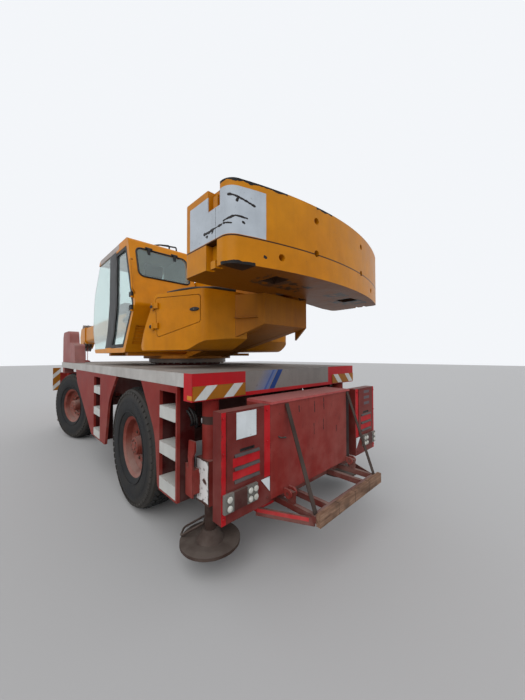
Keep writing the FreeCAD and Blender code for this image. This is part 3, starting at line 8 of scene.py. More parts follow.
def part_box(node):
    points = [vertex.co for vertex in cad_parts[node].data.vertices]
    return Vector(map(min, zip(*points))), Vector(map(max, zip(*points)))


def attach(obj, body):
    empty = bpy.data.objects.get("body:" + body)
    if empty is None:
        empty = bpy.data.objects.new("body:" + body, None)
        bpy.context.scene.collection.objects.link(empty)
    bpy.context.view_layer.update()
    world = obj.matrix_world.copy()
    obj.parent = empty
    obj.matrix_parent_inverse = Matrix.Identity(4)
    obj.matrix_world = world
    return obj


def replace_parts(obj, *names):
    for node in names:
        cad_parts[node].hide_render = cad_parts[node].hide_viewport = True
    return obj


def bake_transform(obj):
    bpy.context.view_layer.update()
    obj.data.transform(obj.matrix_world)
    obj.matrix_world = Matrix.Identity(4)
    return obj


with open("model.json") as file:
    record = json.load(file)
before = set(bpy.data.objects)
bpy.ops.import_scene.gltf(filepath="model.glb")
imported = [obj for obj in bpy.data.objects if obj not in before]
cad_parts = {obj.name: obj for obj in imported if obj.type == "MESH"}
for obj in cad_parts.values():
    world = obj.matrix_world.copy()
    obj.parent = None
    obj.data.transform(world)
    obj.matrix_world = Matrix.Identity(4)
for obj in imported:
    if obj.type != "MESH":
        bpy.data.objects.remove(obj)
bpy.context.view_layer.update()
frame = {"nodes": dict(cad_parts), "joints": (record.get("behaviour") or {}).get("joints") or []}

# Photographer's camera
# It stands off the left rear corner at eye height and looks 44 degrees to the right of straight ahead.
# Stations are counted forward from the deck's rear face, as the CAD counts them.
deck_low, deck_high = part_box("deck")
rear = deck_low.x
CAMERA_STATION = -1.9064
CAMERA_SIDE = 2.3287
CAMERA_HEIGHT = 1.7382
CAMERA_YAW = math.radians(-44.076)
CAMERA_PITCH = math.radians(1.221)
CAMERA_ROLL = math.radians(-0.089)
FOCAL_PIXELS = 273.8
PHOTO_HEIGHT = 700


def at(station, side, height):
    """A point in the frame from its station ahead of the deck's rear face."""
    return Vector((rear + station, side, height))


camera = bpy.data.objects.new("camera", bpy.data.cameras.new("camera"))
bpy.context.scene.collection.objects.link(camera)
bpy.context.scene.camera = camera
camera.data.lens = camera.data.sensor_width * FOCAL_PIXELS / PHOTO_HEIGHT
camera.data.clip_end = 200
camera.location = at(CAMERA_STATION, CAMERA_SIDE, CAMERA_HEIGHT)
look = Vector((math.cos(CAMERA_YAW) * math.cos(CAMERA_PITCH), math.sin(CAMERA_YAW) * math.cos(CAMERA_PITCH),
               math.sin(CAMERA_PITCH),))
camera.rotation_mode = "QUATERNION"
camera.rotation_quaternion = look.to_track_quat("-Z", "Y") @ Matrix.Rotation(CAMERA_ROLL, 3,
                                                                             "Z").to_quaternion()

# Studio floor and daylight
# A pale level floor, an overcast sky that camera rays see as near white, and a wide soft lamp from the left.
FLOOR_TONE = (0.42, 0.41, 0.40, 1)
FLOOR_REACH = 60
SKY_TONE = (0.86, 0.90, 0.96, 1)
SKY_LIGHT = 0.90
BACKDROP_TONE = (0.90, 0.92, 0.95, 1)
SUN_LIGHT = 1.35
SUN_SPREAD = math.radians(70)
SUN_TURN = (math.radians(-38), math.radians(-30), 0)


def feed(tree, value, socket):
    """Links another socket to this one, or sets it to a plain value."""
    if isinstance(value, bpy.types.NodeSocket):
        tree.links.new(value, socket)
    elif value is not None:
        socket.default_value = value


def node_in(tree, kind, inputs=None, **settings):
    """A node with its settings, and its inputs by name or number, each a socket or a value."""
    made = tree.nodes.new(kind)
    for name, value in settings.items():
        setattr(made, name, value)
    for name, value in (inputs or {}).items():
        feed(tree, value, made.inputs[name])
    return made


def maths(tree, operation, first, second=None, clamp=False):
    """A Math node fed by sockets or plain numbers. Returns its output socket."""
    return node_in(tree, "ShaderNodeMath", {0: first, 1: second}, operation=operation,
                   use_clamp=clamp).outputs[0]


def blank(name, constants):
    """A new material with constants on its own shader. Returns it with its tree and its shader's inputs."""
    made = bpy.data.materials.new(name)
    made.use_nodes = True
    inputs = made.node_tree.nodes["Principled BSDF"].inputs
    for socket, value in constants.items():
        inputs[socket].default_value = value
    return made, made.node_tree, inputs


bpy.context.scene.view_settings.view_transform = "Standard"
floor_mesh = bpy.data.meshes.new("floor")
floor_corners = ((-1, -1), (1, -1), (1, 1), (-1, 1))
floor_mesh.from_pydata([(FLOOR_REACH * x, FLOOR_REACH * y, 0) for x, y in floor_corners], [], [(0, 1, 2, 3)])
floor = bpy.data.objects.new("floor", floor_mesh)
bpy.context.scene.collection.objects.link(floor)
floor_mesh.materials.append(blank("floor_finish", {"Base Color": FLOOR_TONE, "Roughness": 0.9})[0])

world = bpy.data.worlds.new("sky")
bpy.context.scene.world = world
world.use_nodes = True
sky = world.node_tree
sky.nodes.clear()
ray = node_in(sky, "ShaderNodeLightPath").outputs
seen = maths(sky, "MAXIMUM", ray["Is Camera Ray"], ray["Is Glossy Ray"])
seen = maths(sky, "MAXIMUM", seen, ray["Is Transmission Ray"])
lighting = node_in(sky, "ShaderNodeBackground", {"Color": SKY_TONE, "Strength": SKY_LIGHT}).outputs[0]
backdrop = node_in(sky, "ShaderNodeBackground", {"Color": BACKDROP_TONE, "Strength": 1.0}).outputs[0]
sky_mix = node_in(sky, "ShaderNodeMixShader", {0: seen, 1: lighting, 2: backdrop}).outputs[0]
node_in(sky, "ShaderNodeOutputWorld", {0: sky_mix})

sun = bpy.data.objects.new("soft_sun", bpy.data.lights.new("soft_sun", "SUN"))
bpy.context.scene.collection.objects.link(sun)
sun.data.energy = SUN_LIGHT
sun.data.angle = SUN_SPREAD
sun.rotation_euler = SUN_TURN

# Deck
# A welded plate with a chequer tread, dull from boots, and pale painted skirts along its two sides.
# Every painted piece shares the weathering group below: fading, dust, rain streaks, chips and worn edges.
SKIRT_FACE = deck_high.y - 0.002
TREAD_WAVE = 150.0
SCRATCH = (0.018, 0.015, 0.014, 1)


def times(tree, first, *others):
    """The product of sockets or numbers."""
    for other in others:
        first = maths(tree, "MULTIPLY", first, other)
    return first


def ranged(tree, value, low, high, to_low=0.0, to_high=1.0):
    """Maps a value from one range to another and holds it at the ends."""
    return node_in(tree, "ShaderNodeMapRange", {
        "Value": value, "From Min": low, "From Max": high, "To Min": to_low, "To Max": to_high}).outputs[0]


def mixed(tree, share, first, second, blend="MIX"):
    """A colour mix of sockets or values. Returns its colour socket."""
    return node_in(tree, "ShaderNodeMix", {0: share, 6: first, 7: second}, data_type="RGBA",
                   blend_type=blend).outputs[2]


def noise(tree, where, scale, detail=3.0, stretch=None, roughness=0.55):
    """Noise, stretched where a grain or a run of rain needs it."""
    if stretch:
        where = node_in(tree, "ShaderNodeMapping", {"Vector": where, "Scale": stretch}).outputs[0]
    return node_in(tree, "ShaderNodeTexNoise", {
        "Vector": where, "Scale": scale, "Detail": detail, "Roughness": roughness}).outputs["Fac"]


def own_place(tree):
    """The object's own coordinates, which stay with the piece as it moves."""
    return node_in(tree, "ShaderNodeTexCoord").outputs["Object"]


def split(tree, vector):
    """The X, Y and Z of a vector."""
    return node_in(tree, "ShaderNodeSeparateXYZ", {0: vector}).outputs


def vectors(tree, operation, first, second, output=0):
    """A Vector Math node fed by sockets or vectors. Returns one of its output sockets."""
    return node_in(tree, "ShaderNodeVectorMath", {0: first, 1: second}, operation=operation).outputs[output]


def scaled(tree, vector, share):
    """A vector times a number."""
    return node_in(tree, "ShaderNodeVectorMath", {0: vector, "Scale": share}, operation="SCALE").outputs[0]


def group_of(name, kind, inputs, outputs):
    """A node group with its named sockets. Returns it with what goes in and what comes out."""
    group = bpy.data.node_groups.new(name, kind)
    for way, sockets in (("INPUT", inputs), ("OUTPUT", outputs)):
        for socket, value_kind in sockets.items():
            group.interface.new_socket(socket, in_out=way, socket_type="NodeSocket" + value_kind)
    return group, node_in(group, "NodeGroupInput").outputs, node_in(group, "NodeGroupOutput").inputs


def weathering_group():
    """Weathering of outdoor paint. It puts out the colour, roughness, height and the share of bare metal."""
    colours = {"Paint": (0.5, 0.1, 0.1, 1), "Faded": (0.5, 0.2, 0.2, 1), "Dust": (0.33, 0.29, 0.25, 1),
               "Bare": (0.05, 0.035, 0.03, 1)}
    amounts = {"Fading": 0.6, "Streaks": 0.5, "Dusting": 0.5, "Chips": 0.3, "Edges": 0.5, "Gloss": 0.35,
               "Scuffs": 0.0}
    group, given, result = group_of(
        "weathering", "ShaderNodeTree", dict.fromkeys(colours, "Color") | dict.fromkeys(amounts, "Float"),
        {"Color": "Color", "Roughness": "Float", "Height": "Float", "Worn": "Float"})
    for name, value in (colours | amounts).items():
        group.interface.items_tree[name].default_value = value
    place = own_place(group)
    facing = node_in(group, "ShaderNodeNewGeometry").outputs["Normal"]
    slope = split(group, facing)["Z"]
    upward = maths(group, "MAXIMUM", slope, 0.0)
    upright = maths(group, "SUBTRACT", 1.0, maths(group, "ABSOLUTE", slope), clamp=True)

    # faded in clouds, with a slight blotchiness
    cloud = noise(group, place, 1.3, 6.0)
    patch = noise(group, place, 5.5, 5.0)
    fade = times(group, ranged(group, cloud, 0.36, 0.66), given["Fading"])
    colour = mixed(group, fade, given["Paint"], given["Faded"])
    colour = mixed(group, 1.0, colour, ranged(group, patch, 0.35, 0.7, 0.90, 1.08), "MULTIPLY")

    # rain streaks down upright faces, and thin upright scuffs
    runs = ranged(group, noise(group, place, 1.0, 5.0, (13, 13, 0.9), 0.7), 0.50, 0.80)
    runs = times(group, runs, upright, given["Streaks"])
    colour = mixed(group, times(group, runs, 0.45), colour, given["Bare"])
    strokes = ranged(group, noise(group, place, 1.0, 3.0, (55, 55, 7), 0.6), 0.62, 0.70)
    strokes = times(group, strokes, ranged(group, cloud, 0.40, 0.56), upright, given["Scuffs"])
    colour = mixed(group, strokes, colour, given["Bare"])

    # dust that settles on level faces and is splashed up low down
    settled = times(group, upward, ranged(group, cloud, 0.30, 0.60, 0.35, 1.0))
    low_down = ranged(group, split(group, place)["Z"], 1.5, 0.25)
    splashed = times(group, low_down, ranged(group, patch, 0.40, 0.68), 0.55)
    dusty = times(group, maths(group, "ADD", settled, splashed, clamp=True), given["Dusting"])
    colour = mixed(group, dusty, colour, given["Dust"])

    # chips in patches, and edges rubbed through
    chips = ranged(group, noise(group, place, 60.0, 4.0), 0.64, 0.67)
    chips = times(group, chips, ranged(group, noise(group, place, 3.1, 5.0), 0.50, 0.66), given["Chips"])
    rounded = node_in(group, "ShaderNodeBevel", {"Radius": 0.012}, samples=4).outputs[0]
    edge = ranged(group, vectors(group, "DOT_PRODUCT", rounded, facing, 1), 0.985, 0.86)
    edge = times(group, edge, ranged(group, noise(group, place, 17.0, 5.0), 0.44, 0.60), given["Edges"])
    worn = maths(group, "MAXIMUM", chips, edge, clamp=True)
    colour = mixed(group, worn, colour, given["Bare"])

    rough = maths(group, "ADD", given["Gloss"], times(group, dusty, 0.45))
    rough = maths(group, "ADD", rough, times(group, patch, 0.16), clamp=True)
    height = maths(group, "ADD", times(group, noise(group, place, 240.0, 2.0), 0.05),
                   times(group, noise(group, place, 4.2, 2.0), 0.9))
    height = maths(group, "SUBTRACT", height, times(group, worn, 0.25))
    for socket, value in (("Color", colour), ("Roughness", rough), ("Height", height), ("Worn", worn)):
        feed(group, value, result[socket])
    return group


def stencil_group():
    """Masked-off paint: 1 between two corners, with an edge that wanders by Ragged."""
    group, given, result = group_of("stencil", "ShaderNodeTree",
                                    {"Low": "Vector", "High": "Vector", "Ragged": "Float"},
                                    {"Mask": "Float"})
    place = own_place(group)
    wander = node_in(group, "ShaderNodeTexNoise", {"Vector": place, "Scale": 14.0,
                                                   "Detail": 5.0}).outputs["Color"]
    shift = scaled(group, vectors(group, "SUBTRACT", wander, (0.5, 0.5, 0.5)), given["Ragged"])
    where = vectors(group, "ADD", place, shift)
    inside = vectors(group, "MINIMUM", vectors(group, "SUBTRACT", where, given["Low"]),
                     vectors(group, "SUBTRACT", given["High"], where))
    x_room, y_room, z_room = split(group, inside)
    least = maths(group, "MINIMUM", maths(group, "MINIMUM", x_room, y_room), z_room)
    feed(group, ranged(group, least, -0.001, 0.001), result["Mask"])
    return group


def gouge_group():
    """A scratch: 1 near the line from Start to End, broken up along its length."""
    group, given, result = group_of(
        "gouge", "ShaderNodeTree", {"Start": "Vector", "End": "Vector", "Width": "Float"}, {"Mask": "Float"})
    place = own_place(group)
    run = vectors(group, "SUBTRACT", given["End"], given["Start"])
    reach = vectors(group, "SUBTRACT", place, given["Start"])
    share = maths(group, "DIVIDE", vectors(group, "DOT_PRODUCT", reach, run, 1),
                  vectors(group, "DOT_PRODUCT", run, run, 1), clamp=True)
    away = vectors(group, "DISTANCE", reach, scaled(group, run, share), 1)
    uneven = ranged(group, noise(group, place, 30.0, 3.0), 0.30, 0.65, 0.45, 1.5)
    feed(group, maths(group, "LESS_THAN", away, times(group, given["Width"], uneven)), result["Mask"])
    return group


WEATHERING = weathering_group()
STENCIL = stencil_group()
GOUGE = gouge_group()


def masked(tree, group, first, second, amount):
    """The mask of a stencil or a gouge between two points."""
    return node_in(tree, "ShaderNodeGroup", {0: tuple(first), 1: tuple(second), 2: amount},
                   node_tree=group).outputs[0]


def relieved(tree, height, strength, distance):
    """Feeds a height to the shader's normal through a Bump node."""
    relief = node_in(tree, "ShaderNodeBump", {"Height": height, "Strength": strength, "Distance": distance})
    feed(tree, relief.outputs["Normal"], tree.nodes["Principled BSDF"].inputs["Normal"])


def weathered(name, paint, faded, metallic=0.0, patches=(), gouges=(), **amounts):
    """Worn paint; patches are (colour, low corner, high corner, ragged edge); gouges (start, end, width)."""
    made, tree, shader = blank(name, {"Metallic": metallic, "Specular IOR Level": 0.14})
    values = {"Paint": (*paint, 1), "Faded": (*faded, 1)}
    for tint, low, high, ragged in patches:
        mask = masked(tree, STENCIL, low, high, ragged)
        for key, share in (("Paint", 1.0), ("Faded", 0.82)):
            values[key] = mixed(tree, mask, values[key], (*(share * c for c in tint), 1))
    for key, value in amounts.items():
        values[key.capitalize()] = value if isinstance(value, float) else (*value, 1)
    wear = node_in(tree, "ShaderNodeGroup", values, node_tree=WEATHERING, name="wear").outputs
    colour = wear["Color"]
    for start, end, width in gouges:
        colour = mixed(tree, masked(tree, GOUGE, start, end, width), colour, SCRATCH)
    feed(tree, colour, shader["Base Color"])
    feed(tree, wear["Roughness"], shader["Roughness"])
    relieved(tree, wear["Height"], 0.5, 0.012)
    return made


def dress(finish, *names):
    """Gives CAD nodes a finish."""
    for name in names:
        mesh = frame["nodes"][name].data
        mesh.materials.clear()
        mesh.materials.append(finish)


deck_finish = weathered("deck_finish", (0.20, 0.185, 0.17), (0.29, 0.27, 0.25), fading=0.8, streaks=0.2,
                        dusting=0.45, chips=0.5, edges=0.6, gloss=0.55)
tree = deck_finish.node_tree
wear = tree.nodes["wear"].outputs
x_axis, y_axis, _ = split(tree, own_place(tree))
skirt = maths(tree, "GREATER_THAN", maths(tree, "ABSOLUTE", y_axis), SKIRT_FACE)
skirt_wear = node_in(tree, "ShaderNodeGroup", {
    "Paint": (0.44, 0.42, 0.395, 1), "Faded": (0.34, 0.315, 0.29, 1), "Bare": (0.13, 0.09, 0.07, 1),
    "Fading": 0.7, "Streaks": 0.45, "Chips": 0.7, "Edges": 0.5, "Dusting": 0.1,
}, node_tree=WEATHERING).outputs
coat = mixed(tree, skirt, wear["Color"], skirt_wear["Color"])
feed(tree, coat, tree.nodes["Principled BSDF"].inputs["Base Color"])
tread = times(tree, *(maths(tree, "SINE", times(tree, maths(tree, way, x_axis, y_axis), TREAD_WAVE))
                      for way in ("ADD", "SUBTRACT")))
tread = times(tree, ranged(tree, tread, 0.35, 0.75), maths(tree, "SUBTRACT", 1.0, skirt), 0.25)
feed(tree, maths(tree, "ADD", tread, wear["Height"]), tree.nodes["Bump"].inputs["Height"])
dress(deck_finish, "deck")

# Chassis, engine, axles and slewing ring
# Bearers are the carrier's brick red under road dirt; the rails, axles and knuckles have a darker copy of
# that red, painted as the shade under the deck, with road dirt on it too; the engine is oily cast iron.
# The race is bare machined steel, dark with old grease.
BRICK = (0.205, 0.011, 0.008)
BRICK_FADED = (0.225, 0.038, 0.028)
carrier_red = weathered("carrier_red", BRICK, BRICK_FADED, fading=0.9, streaks=0.5, dusting=0.4, chips=0.5,
                        edges=0.7, gloss=0.45, bare=(0.06, 0.022, 0.018))
# a darker copy of the brick red, painted as the shade under the deck, with weathering dirt on top
underside_red_shade_and_dirt = weathered("underside_red_shade_and_dirt", (0.085, 0.014, 0.012), (0.10, 0.035, 0.028), fading=0.9,
                          streaks=0.7, dusting=0.55, chips=0.6, edges=0.5, gloss=0.6)
oily_iron = weathered("oily_iron", (0.035, 0.034, 0.034), (0.07, 0.062, 0.055), fading=0.8, streaks=0.5,
                      dusting=0.6, chips=0.4, edges=0.3, gloss=0.4, metallic=0.3)
race_steel = weathered("race_steel", (0.11, 0.10, 0.095), (0.16, 0.11, 0.08), fading=0.8, streaks=0.6,
                       dusting=0.35, chips=0.5, edges=0.3, gloss=0.35, metallic=0.7)
dress(carrier_red, "outrigger_boxes")
dress(underside_red_shade_and_dirt, "chassis_frame", "axles", *(n for n in frame["nodes"] if n.startswith("knuckle_")))
dress(oily_iron, "engine_block")
dress(race_steel, "slewing_ring")


def add_block(bm, low, high, bevel=0.004):
    """A box with rounded edges between two corners."""
    low, high = Vector(map(min, low, high)), Vector(map(max, low, high))
    size = high - low
    matrix = Matrix.Translation((low + high) / 2) @ Matrix.Diagonal((*size, 1))
    made = bmesh.ops.create_cube(bm, size=1.0, matrix=matrix)["verts"]
    edges = list({edge for vert in made for edge in vert.link_edges})
    bmesh.ops.bevel(bm, geom=edges, offset=min(bevel, min(size) * 0.45), segments=2, profile=0.5,
                    affect="EDGES")


def aligned(start, run):
    """A matrix that puts the origin at start and Y along run."""
    return Matrix.Translation(start) @ Vector(run).to_track_quat("Y", "Z").to_matrix().to_4x4()


def lathe(bm, rows, place, count=40, closed=False):
    """Turns rows of (offset along the axis, radius) about Y and places them; radius 0 closes an end."""
    rings = []
    for offset, reach in rows:
        turns = [math.tau * i / count for i in range(count if reach > 1e-6 else 1)]
        rings.append([bm.verts.new(place @ Vector((reach * math.sin(turn), offset,
                                                   reach * math.cos(turn)))) for turn in turns])
    for one, two in zip(rings, rings[1:] + (rings[:1] if closed else [])):
        for i in range(count):
            j = (i + 1) % count
            corners = [one[i % len(one)], one[j % len(one)], two[j % len(two)], two[i % len(two)]]
            corners = list(dict.fromkeys(corners))
            if len(corners) > 2:
                bm.faces.new(corners)
    for ring in () if closed else (rings[0], rings[-1]):
        if len(ring) > 2:
            bm.faces.new(ring)


def bolt(bm, centre, axis, size):
    """A hexagon head on a washer, standing off its seat along axis."""
    place = aligned(centre, axis)
    lathe(bm, ((0, size * 1.25), (size * 0.2, size * 1.25), (size * 0.2, 0)), place, 16)
    lathe(bm, ((size * 0.2, size), (size * 0.9, size), (size * 1.05, size * 0.8), (size * 1.05, 0)), place, 6)


def settled(name, mesh, body=None, slot=None):
    """An object for a finished mesh, on the body that it rides on. The slot argument is not used."""
    made = bpy.data.objects.new(name, mesh)
    bpy.context.scene.collection.objects.link(made)
    if body:
        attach(made, body)
    return made


def piece(name, bm, finish, body, slot=None, smooth=False):
    """Ends a mesh: normals out, finish and the body it rides on. The slot argument is not used."""
    bmesh.ops.recalc_face_normals(bm, faces=bm.faces)
    mesh = bpy.data.meshes.new(name)
    bm.to_mesh(mesh)
    bm.free()
    if smooth:
        mesh.shade_smooth()
        mesh.set_sharp_from_angle(angle=math.radians(35))
    mesh.materials.append(finish)
    return settled(name, mesh, body, slot)


def end_tree(tree, shape, given, result):
    """Ends a Geometry Nodes tree: instances made real, material set."""
    real = node_in(tree, "GeometryNodeRealizeInstances", {0: shape}).outputs[0]
    coated = node_in(tree, "GeometryNodeSetMaterial", {
        "Geometry": real, "Material": given["Material"]}).outputs[0]
    feed(tree, coated, result["Geometry"])


def repeat_tree():
    """Copies a mesh: each copy is turned and moved by one more step."""
    tree, given, result = group_of(
        "repeat_steps", "GeometryNodeTree",
        {"Geometry": "Geometry", "Count": "Int", "Turn": "Vector", "Move": "Vector", "Material": "Material"},
        {"Geometry": "Geometry"})
    step = node_in(tree, "GeometryNodeInputIndex").outputs[0]
    points = node_in(tree, "GeometryNodePoints", {
        "Count": given["Count"], "Position": scaled(tree, given["Move"], step)}).outputs[0]
    copies = node_in(tree, "GeometryNodeInstanceOnPoints", {
        "Points": points, "Instance": given["Geometry"], "Rotation": scaled(tree, given["Turn"], step),
    }).outputs[0]
    end_tree(tree, copies, given, result)
    return tree


REPEAT = repeat_tree()


def evaluated(made, group, **values):
    """Runs a Geometry Nodes tree on an object and returns the plain mesh that it makes."""
    steps = made.modifiers.new(group.name, "NODES")
    steps.node_group = group
    for item in group.interface.items_tree:
        if item.in_out == "INPUT" and item.name in values:
            steps[item.identifier] = values[item.name]
    bpy.context.view_layer.update()
    mesh = bpy.data.meshes.new_from_object(made.evaluated_get(bpy.context.evaluated_depsgraph_get()))
    made.modifiers.clear()
    return mesh


def repeated(made, count, finish, turn=(0, 0, 0), move=(0, 0, 0)):
    """Turns an object into count copies of itself as a plain mesh. Call it before the object rides."""
    made.data = evaluated(made, REPEAT, Count=count, Turn=turn, Move=move, Material=finish)
    made.data.name = made.name
    return made


# the ring's bolts, one circle on the race
ring_low, ring_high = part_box("slewing_ring")
ring_centre = (ring_low + ring_high) / 2
RING_BOLTS = 36
bm = bmesh.new()
bolt(bm, Vector((0, (ring_high.y - ring_low.y) / 2 - 0.045, 0)), Vector((0, 0, 1)), 0.014)
ring_bolts = repeated(piece("ring_bolts", bm, race_steel, None), RING_BOLTS, race_steel,
                      turn=(0, 0, math.tau / RING_BOLTS))
ring_bolts.data.transform(Matrix.Translation((ring_centre.x, 0, ring_low.z - 0.0155)))
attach(ring_bolts, "carrier")

# Tyres
# Heavy cross-country tyres: a rounded rubber carcass and a belt of closely set lugs with dust in the grooves.
# Each replaces the plain turned solid of the CAD.
tyre_low, tyre_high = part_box("tyre_rear_left")
rim_low, rim_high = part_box("rim_rear_left")
radius = (tyre_high.z - tyre_low.z) / 2
half = (tyre_high.y - tyre_low.y) / 2
bead = (rim_high.z - rim_low.z) / 2 - 0.018
GROOVE = 0.017
PITCHES = 52
LUG_DROP = 0.060
LUG_EDGE = 0.004

tyre_rubber, tree, shader = blank("tyre_rubber", {"Specular IOR Level": 0.2})
place = own_place(tree)
grime = ranged(tree, noise(tree, place, 7.0, 6.0), 0.42, 0.70)
groove = node_in(tree, "ShaderNodeAttribute", attribute_name="grooved").outputs["Fac"]
colour = mixed(tree, times(tree, grime, 0.55), (0.013, 0.0135, 0.0145, 1), (0.045, 0.041, 0.036, 1))
colour = mixed(tree, times(tree, groove, 0.85), colour, (0.105, 0.088, 0.070, 1))
feed(tree, colour, shader["Base Color"])
feed(tree, ranged(tree, grime, 0, 1, 0.62, 0.9), shader["Roughness"])
relieved(tree, noise(tree, place, 110.0, 4.0), 0.35, 0.004)

CARCASS = (
    # offset from the middle plane, radius
    (-0.62 * half, bead), (-0.80 * half, bead + 0.018), (-0.93 * half, bead + 0.062),
    (-0.995 * half, bead + 0.125),
    (-0.998 * half, bead + 0.165), (-0.985 * half, bead + 0.215), (-0.95 * half, radius - 0.082),
    (-0.90 * half, radius - 0.045), (-0.80 * half, radius - GROOVE - 0.006), (-0.4 * half, radius - GROOVE),
    (0, radius - GROOVE),
)


def wheel_matrix(corner):
    """Where a wheel modelled about the origin, outer side towards +Y, belongs."""
    joint = next(j for j in frame["joints"] if j["name"] == "spin_" + corner)
    outward = Vector(joint["axis"]) * (1 if corner.endswith("left") else -1)
    side = outward.cross(Vector((0, 0, 1)))
    turn = Matrix((side, outward, Vector((0, 0, 1)))).transposed().to_4x4()
    return Matrix.Translation(joint["pos_m"]) @ turn


def lug(bm, outline):
    """A tread block: an outline of (offset, arc length) raised from below the groove's floor to the tread."""
    rings = []
    middle_y = sum(p[0] for p in outline) / len(outline)
    middle_arc = sum(p[1] for p in outline) / len(outline)
    for level, inset in ((radius - GROOVE - 0.008, 0.0), (radius - LUG_EDGE, 0.0), (radius, LUG_EDGE)):
        ring = []
        for offset, arc in outline:
            offset += math.copysign(inset, middle_y - offset)
            arc += math.copysign(inset, middle_arc - arc)
            height = level - LUG_DROP * max(0.0, (abs(offset) - 0.62 * half) / (0.38 * half)) ** 2
            angle = arc / radius
            ring.append(bm.verts.new((height * math.sin(angle), offset, height * math.cos(angle))))
        rings.append(ring)
    count = len(outline)
    for one, two in zip(rings, rings[1:]):
        for i in range(count):
            bm.faces.new((one[i], one[(i + 1) % count], two[(i + 1) % count], two[i]))
    bm.faces.new(rings[-1])
    bm.faces.new(rings[0][::-1])


pitch = math.tau * radius / PITCHES
LUGS = (
    # outline in shares of the half width and of a pitch; the other side's lugs are half a pitch further on
    ((0.44, 0.06), (0.99, 0.0), (0.99, 0.80), (0.50, 0.86), (0.44, 0.70)),
    ((0.04, 0.22), (0.36, 0.10), (0.38, 0.72), (0.30, 0.88), (0.06, 0.98)),
)
bm = bmesh.new()
for outline in LUGS:
    lug(bm, [(o * half, a * pitch) for o, a in outline])
    lug(bm, [(-o * half, (a + 0.5) * pitch) for o, a in reversed(outline)])
tread_belt = repeated(piece("tread_belt", bm, tyre_rubber, None), PITCHES, tyre_rubber,
                      turn=(0, math.tau / PITCHES, 0))
belt_mesh = tread_belt.data
bpy.data.objects.remove(tread_belt)

bm = bmesh.new()
lathe(bm, [*CARCASS, *((-o, r) for o, r in CARCASS[-2::-1])], Matrix(), 104, closed=True)
for ring_side in (-1, 1):
    for ring_radius in (bead + 0.075, bead + 0.20):
        rows = ((0.93, -0.006), (0.985, -0.004), (1.0, 0), (0.985, 0.004), (0.93, 0.006))
        lathe(bm, [(ring_side * share * half, ring_radius + out) for share, out in rows], Matrix(), 104,
              closed=True)
bmesh.ops.recalc_face_normals(bm, faces=bm.faces)
bm.from_mesh(belt_mesh)
carcass_mesh = bpy.data.meshes.new("tyre")
bm.to_mesh(carcass_mesh)
bm.free()
carcass_mesh.shade_smooth()
carcass_mesh.set_sharp_from_angle(angle=math.radians(32))
carcass_mesh.materials.append(tyre_rubber)
dust_share = carcass_mesh.attributes.new("grooved", "FLOAT", "POINT")
for vert, item in zip(carcass_mesh.vertices, dust_share.data):
    reach = math.hypot(vert.co.x, vert.co.z)
    deep = max(0.0, 1 - abs(reach - (radius - GROOVE)) / 0.006)
    shoulder = 0.25 if abs(vert.co.y) > 0.8 * half and reach > radius - 0.09 else 0.0
    item.value = max(deep if abs(vert.co.y) < 0.86 * half else 0.0, shoulder)

CORNERS = ("front_left", "front_right", "rear_left", "rear_right")
for corner in CORNERS:
    mesh = carcass_mesh.copy()
    mesh.transform(wheel_matrix(corner))
    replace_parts(settled("dressed_tyre_" + corner, mesh, "wheel_" + corner, "tyre_rubber"), "tyre_" + corner)

# Rims
# Deep pressed discs in the carrier's red, brake dust in the dish, a planetary hub and twelve wheel nuts.
rim_red = weathered("rim_red", (0.175, 0.023, 0.014), (0.195, 0.052, 0.036), fading=0.9, streaks=0.35,
                    dusting=0.45, chips=0.7, edges=0.8, gloss=0.5)
dress(rim_red, *("rim_" + corner for corner in CORNERS))
NUTS = 12
HUB_BOLTS = 8
NUT_CIRCLE = 0.215
HUB_STEPS = ((0.095, 0.10), (0.128, 0.098), (0.134, 0.088), (0.134, 0.045), (0.142, 0.042), (0.142, 0))
nut_steel = weathered("nut_steel", (0.13, 0.09, 0.075), (0.17, 0.07, 0.05), fading=0.8, streaks=0.1,
                      dusting=0.3, chips=0.4, edges=0.2, gloss=0.35, metallic=0.75)
bm = bmesh.new()
bolt(bm, Vector((0, 0.026, NUT_CIRCLE)), Vector((0, 1, 0)), 0.016)
nut_ring = repeated(piece("nut_ring", bm, nut_steel, None), NUTS, nut_steel, turn=(0, math.tau / NUTS, 0))
bm = bmesh.new()
bolt(bm, Vector((0, 0.134, 0.070)), Vector((0, 1, 0)), 0.009)
hub_bolts = repeated(piece("hub_bolts", bm, nut_steel, None), HUB_BOLTS, nut_steel,
                     turn=(0, math.tau / HUB_BOLTS, 0))
bm = bmesh.new()
lathe(bm, HUB_STEPS, Matrix(), 40)
lathe(bm, ((0.0, NUT_CIRCLE + 0.034), (0.018, NUT_CIRCLE + 0.030), (0.027, NUT_CIRCLE + 0.022),
           (0.027, NUT_CIRCLE - 0.040), (0.010, NUT_CIRCLE - 0.050)), Matrix(), 60, closed=True)
hub_cap = piece("hub_cap", bm, rim_red, None, smooth=True)
for corner in CORNERS:
    for source, finish_slot in ((nut_ring, "bare_steel"), (hub_bolts, "bare_steel"),
                                (hub_cap, "carrier_paint")):
        mesh = source.data.copy()
        mesh.transform(wheel_matrix(corner))
        settled(f"{source.name}_{corner}", mesh, "wheel_" + corner, finish_slot)
for source in (nut_ring, hub_bolts, hub_cap):
    bpy.data.objects.remove(source)
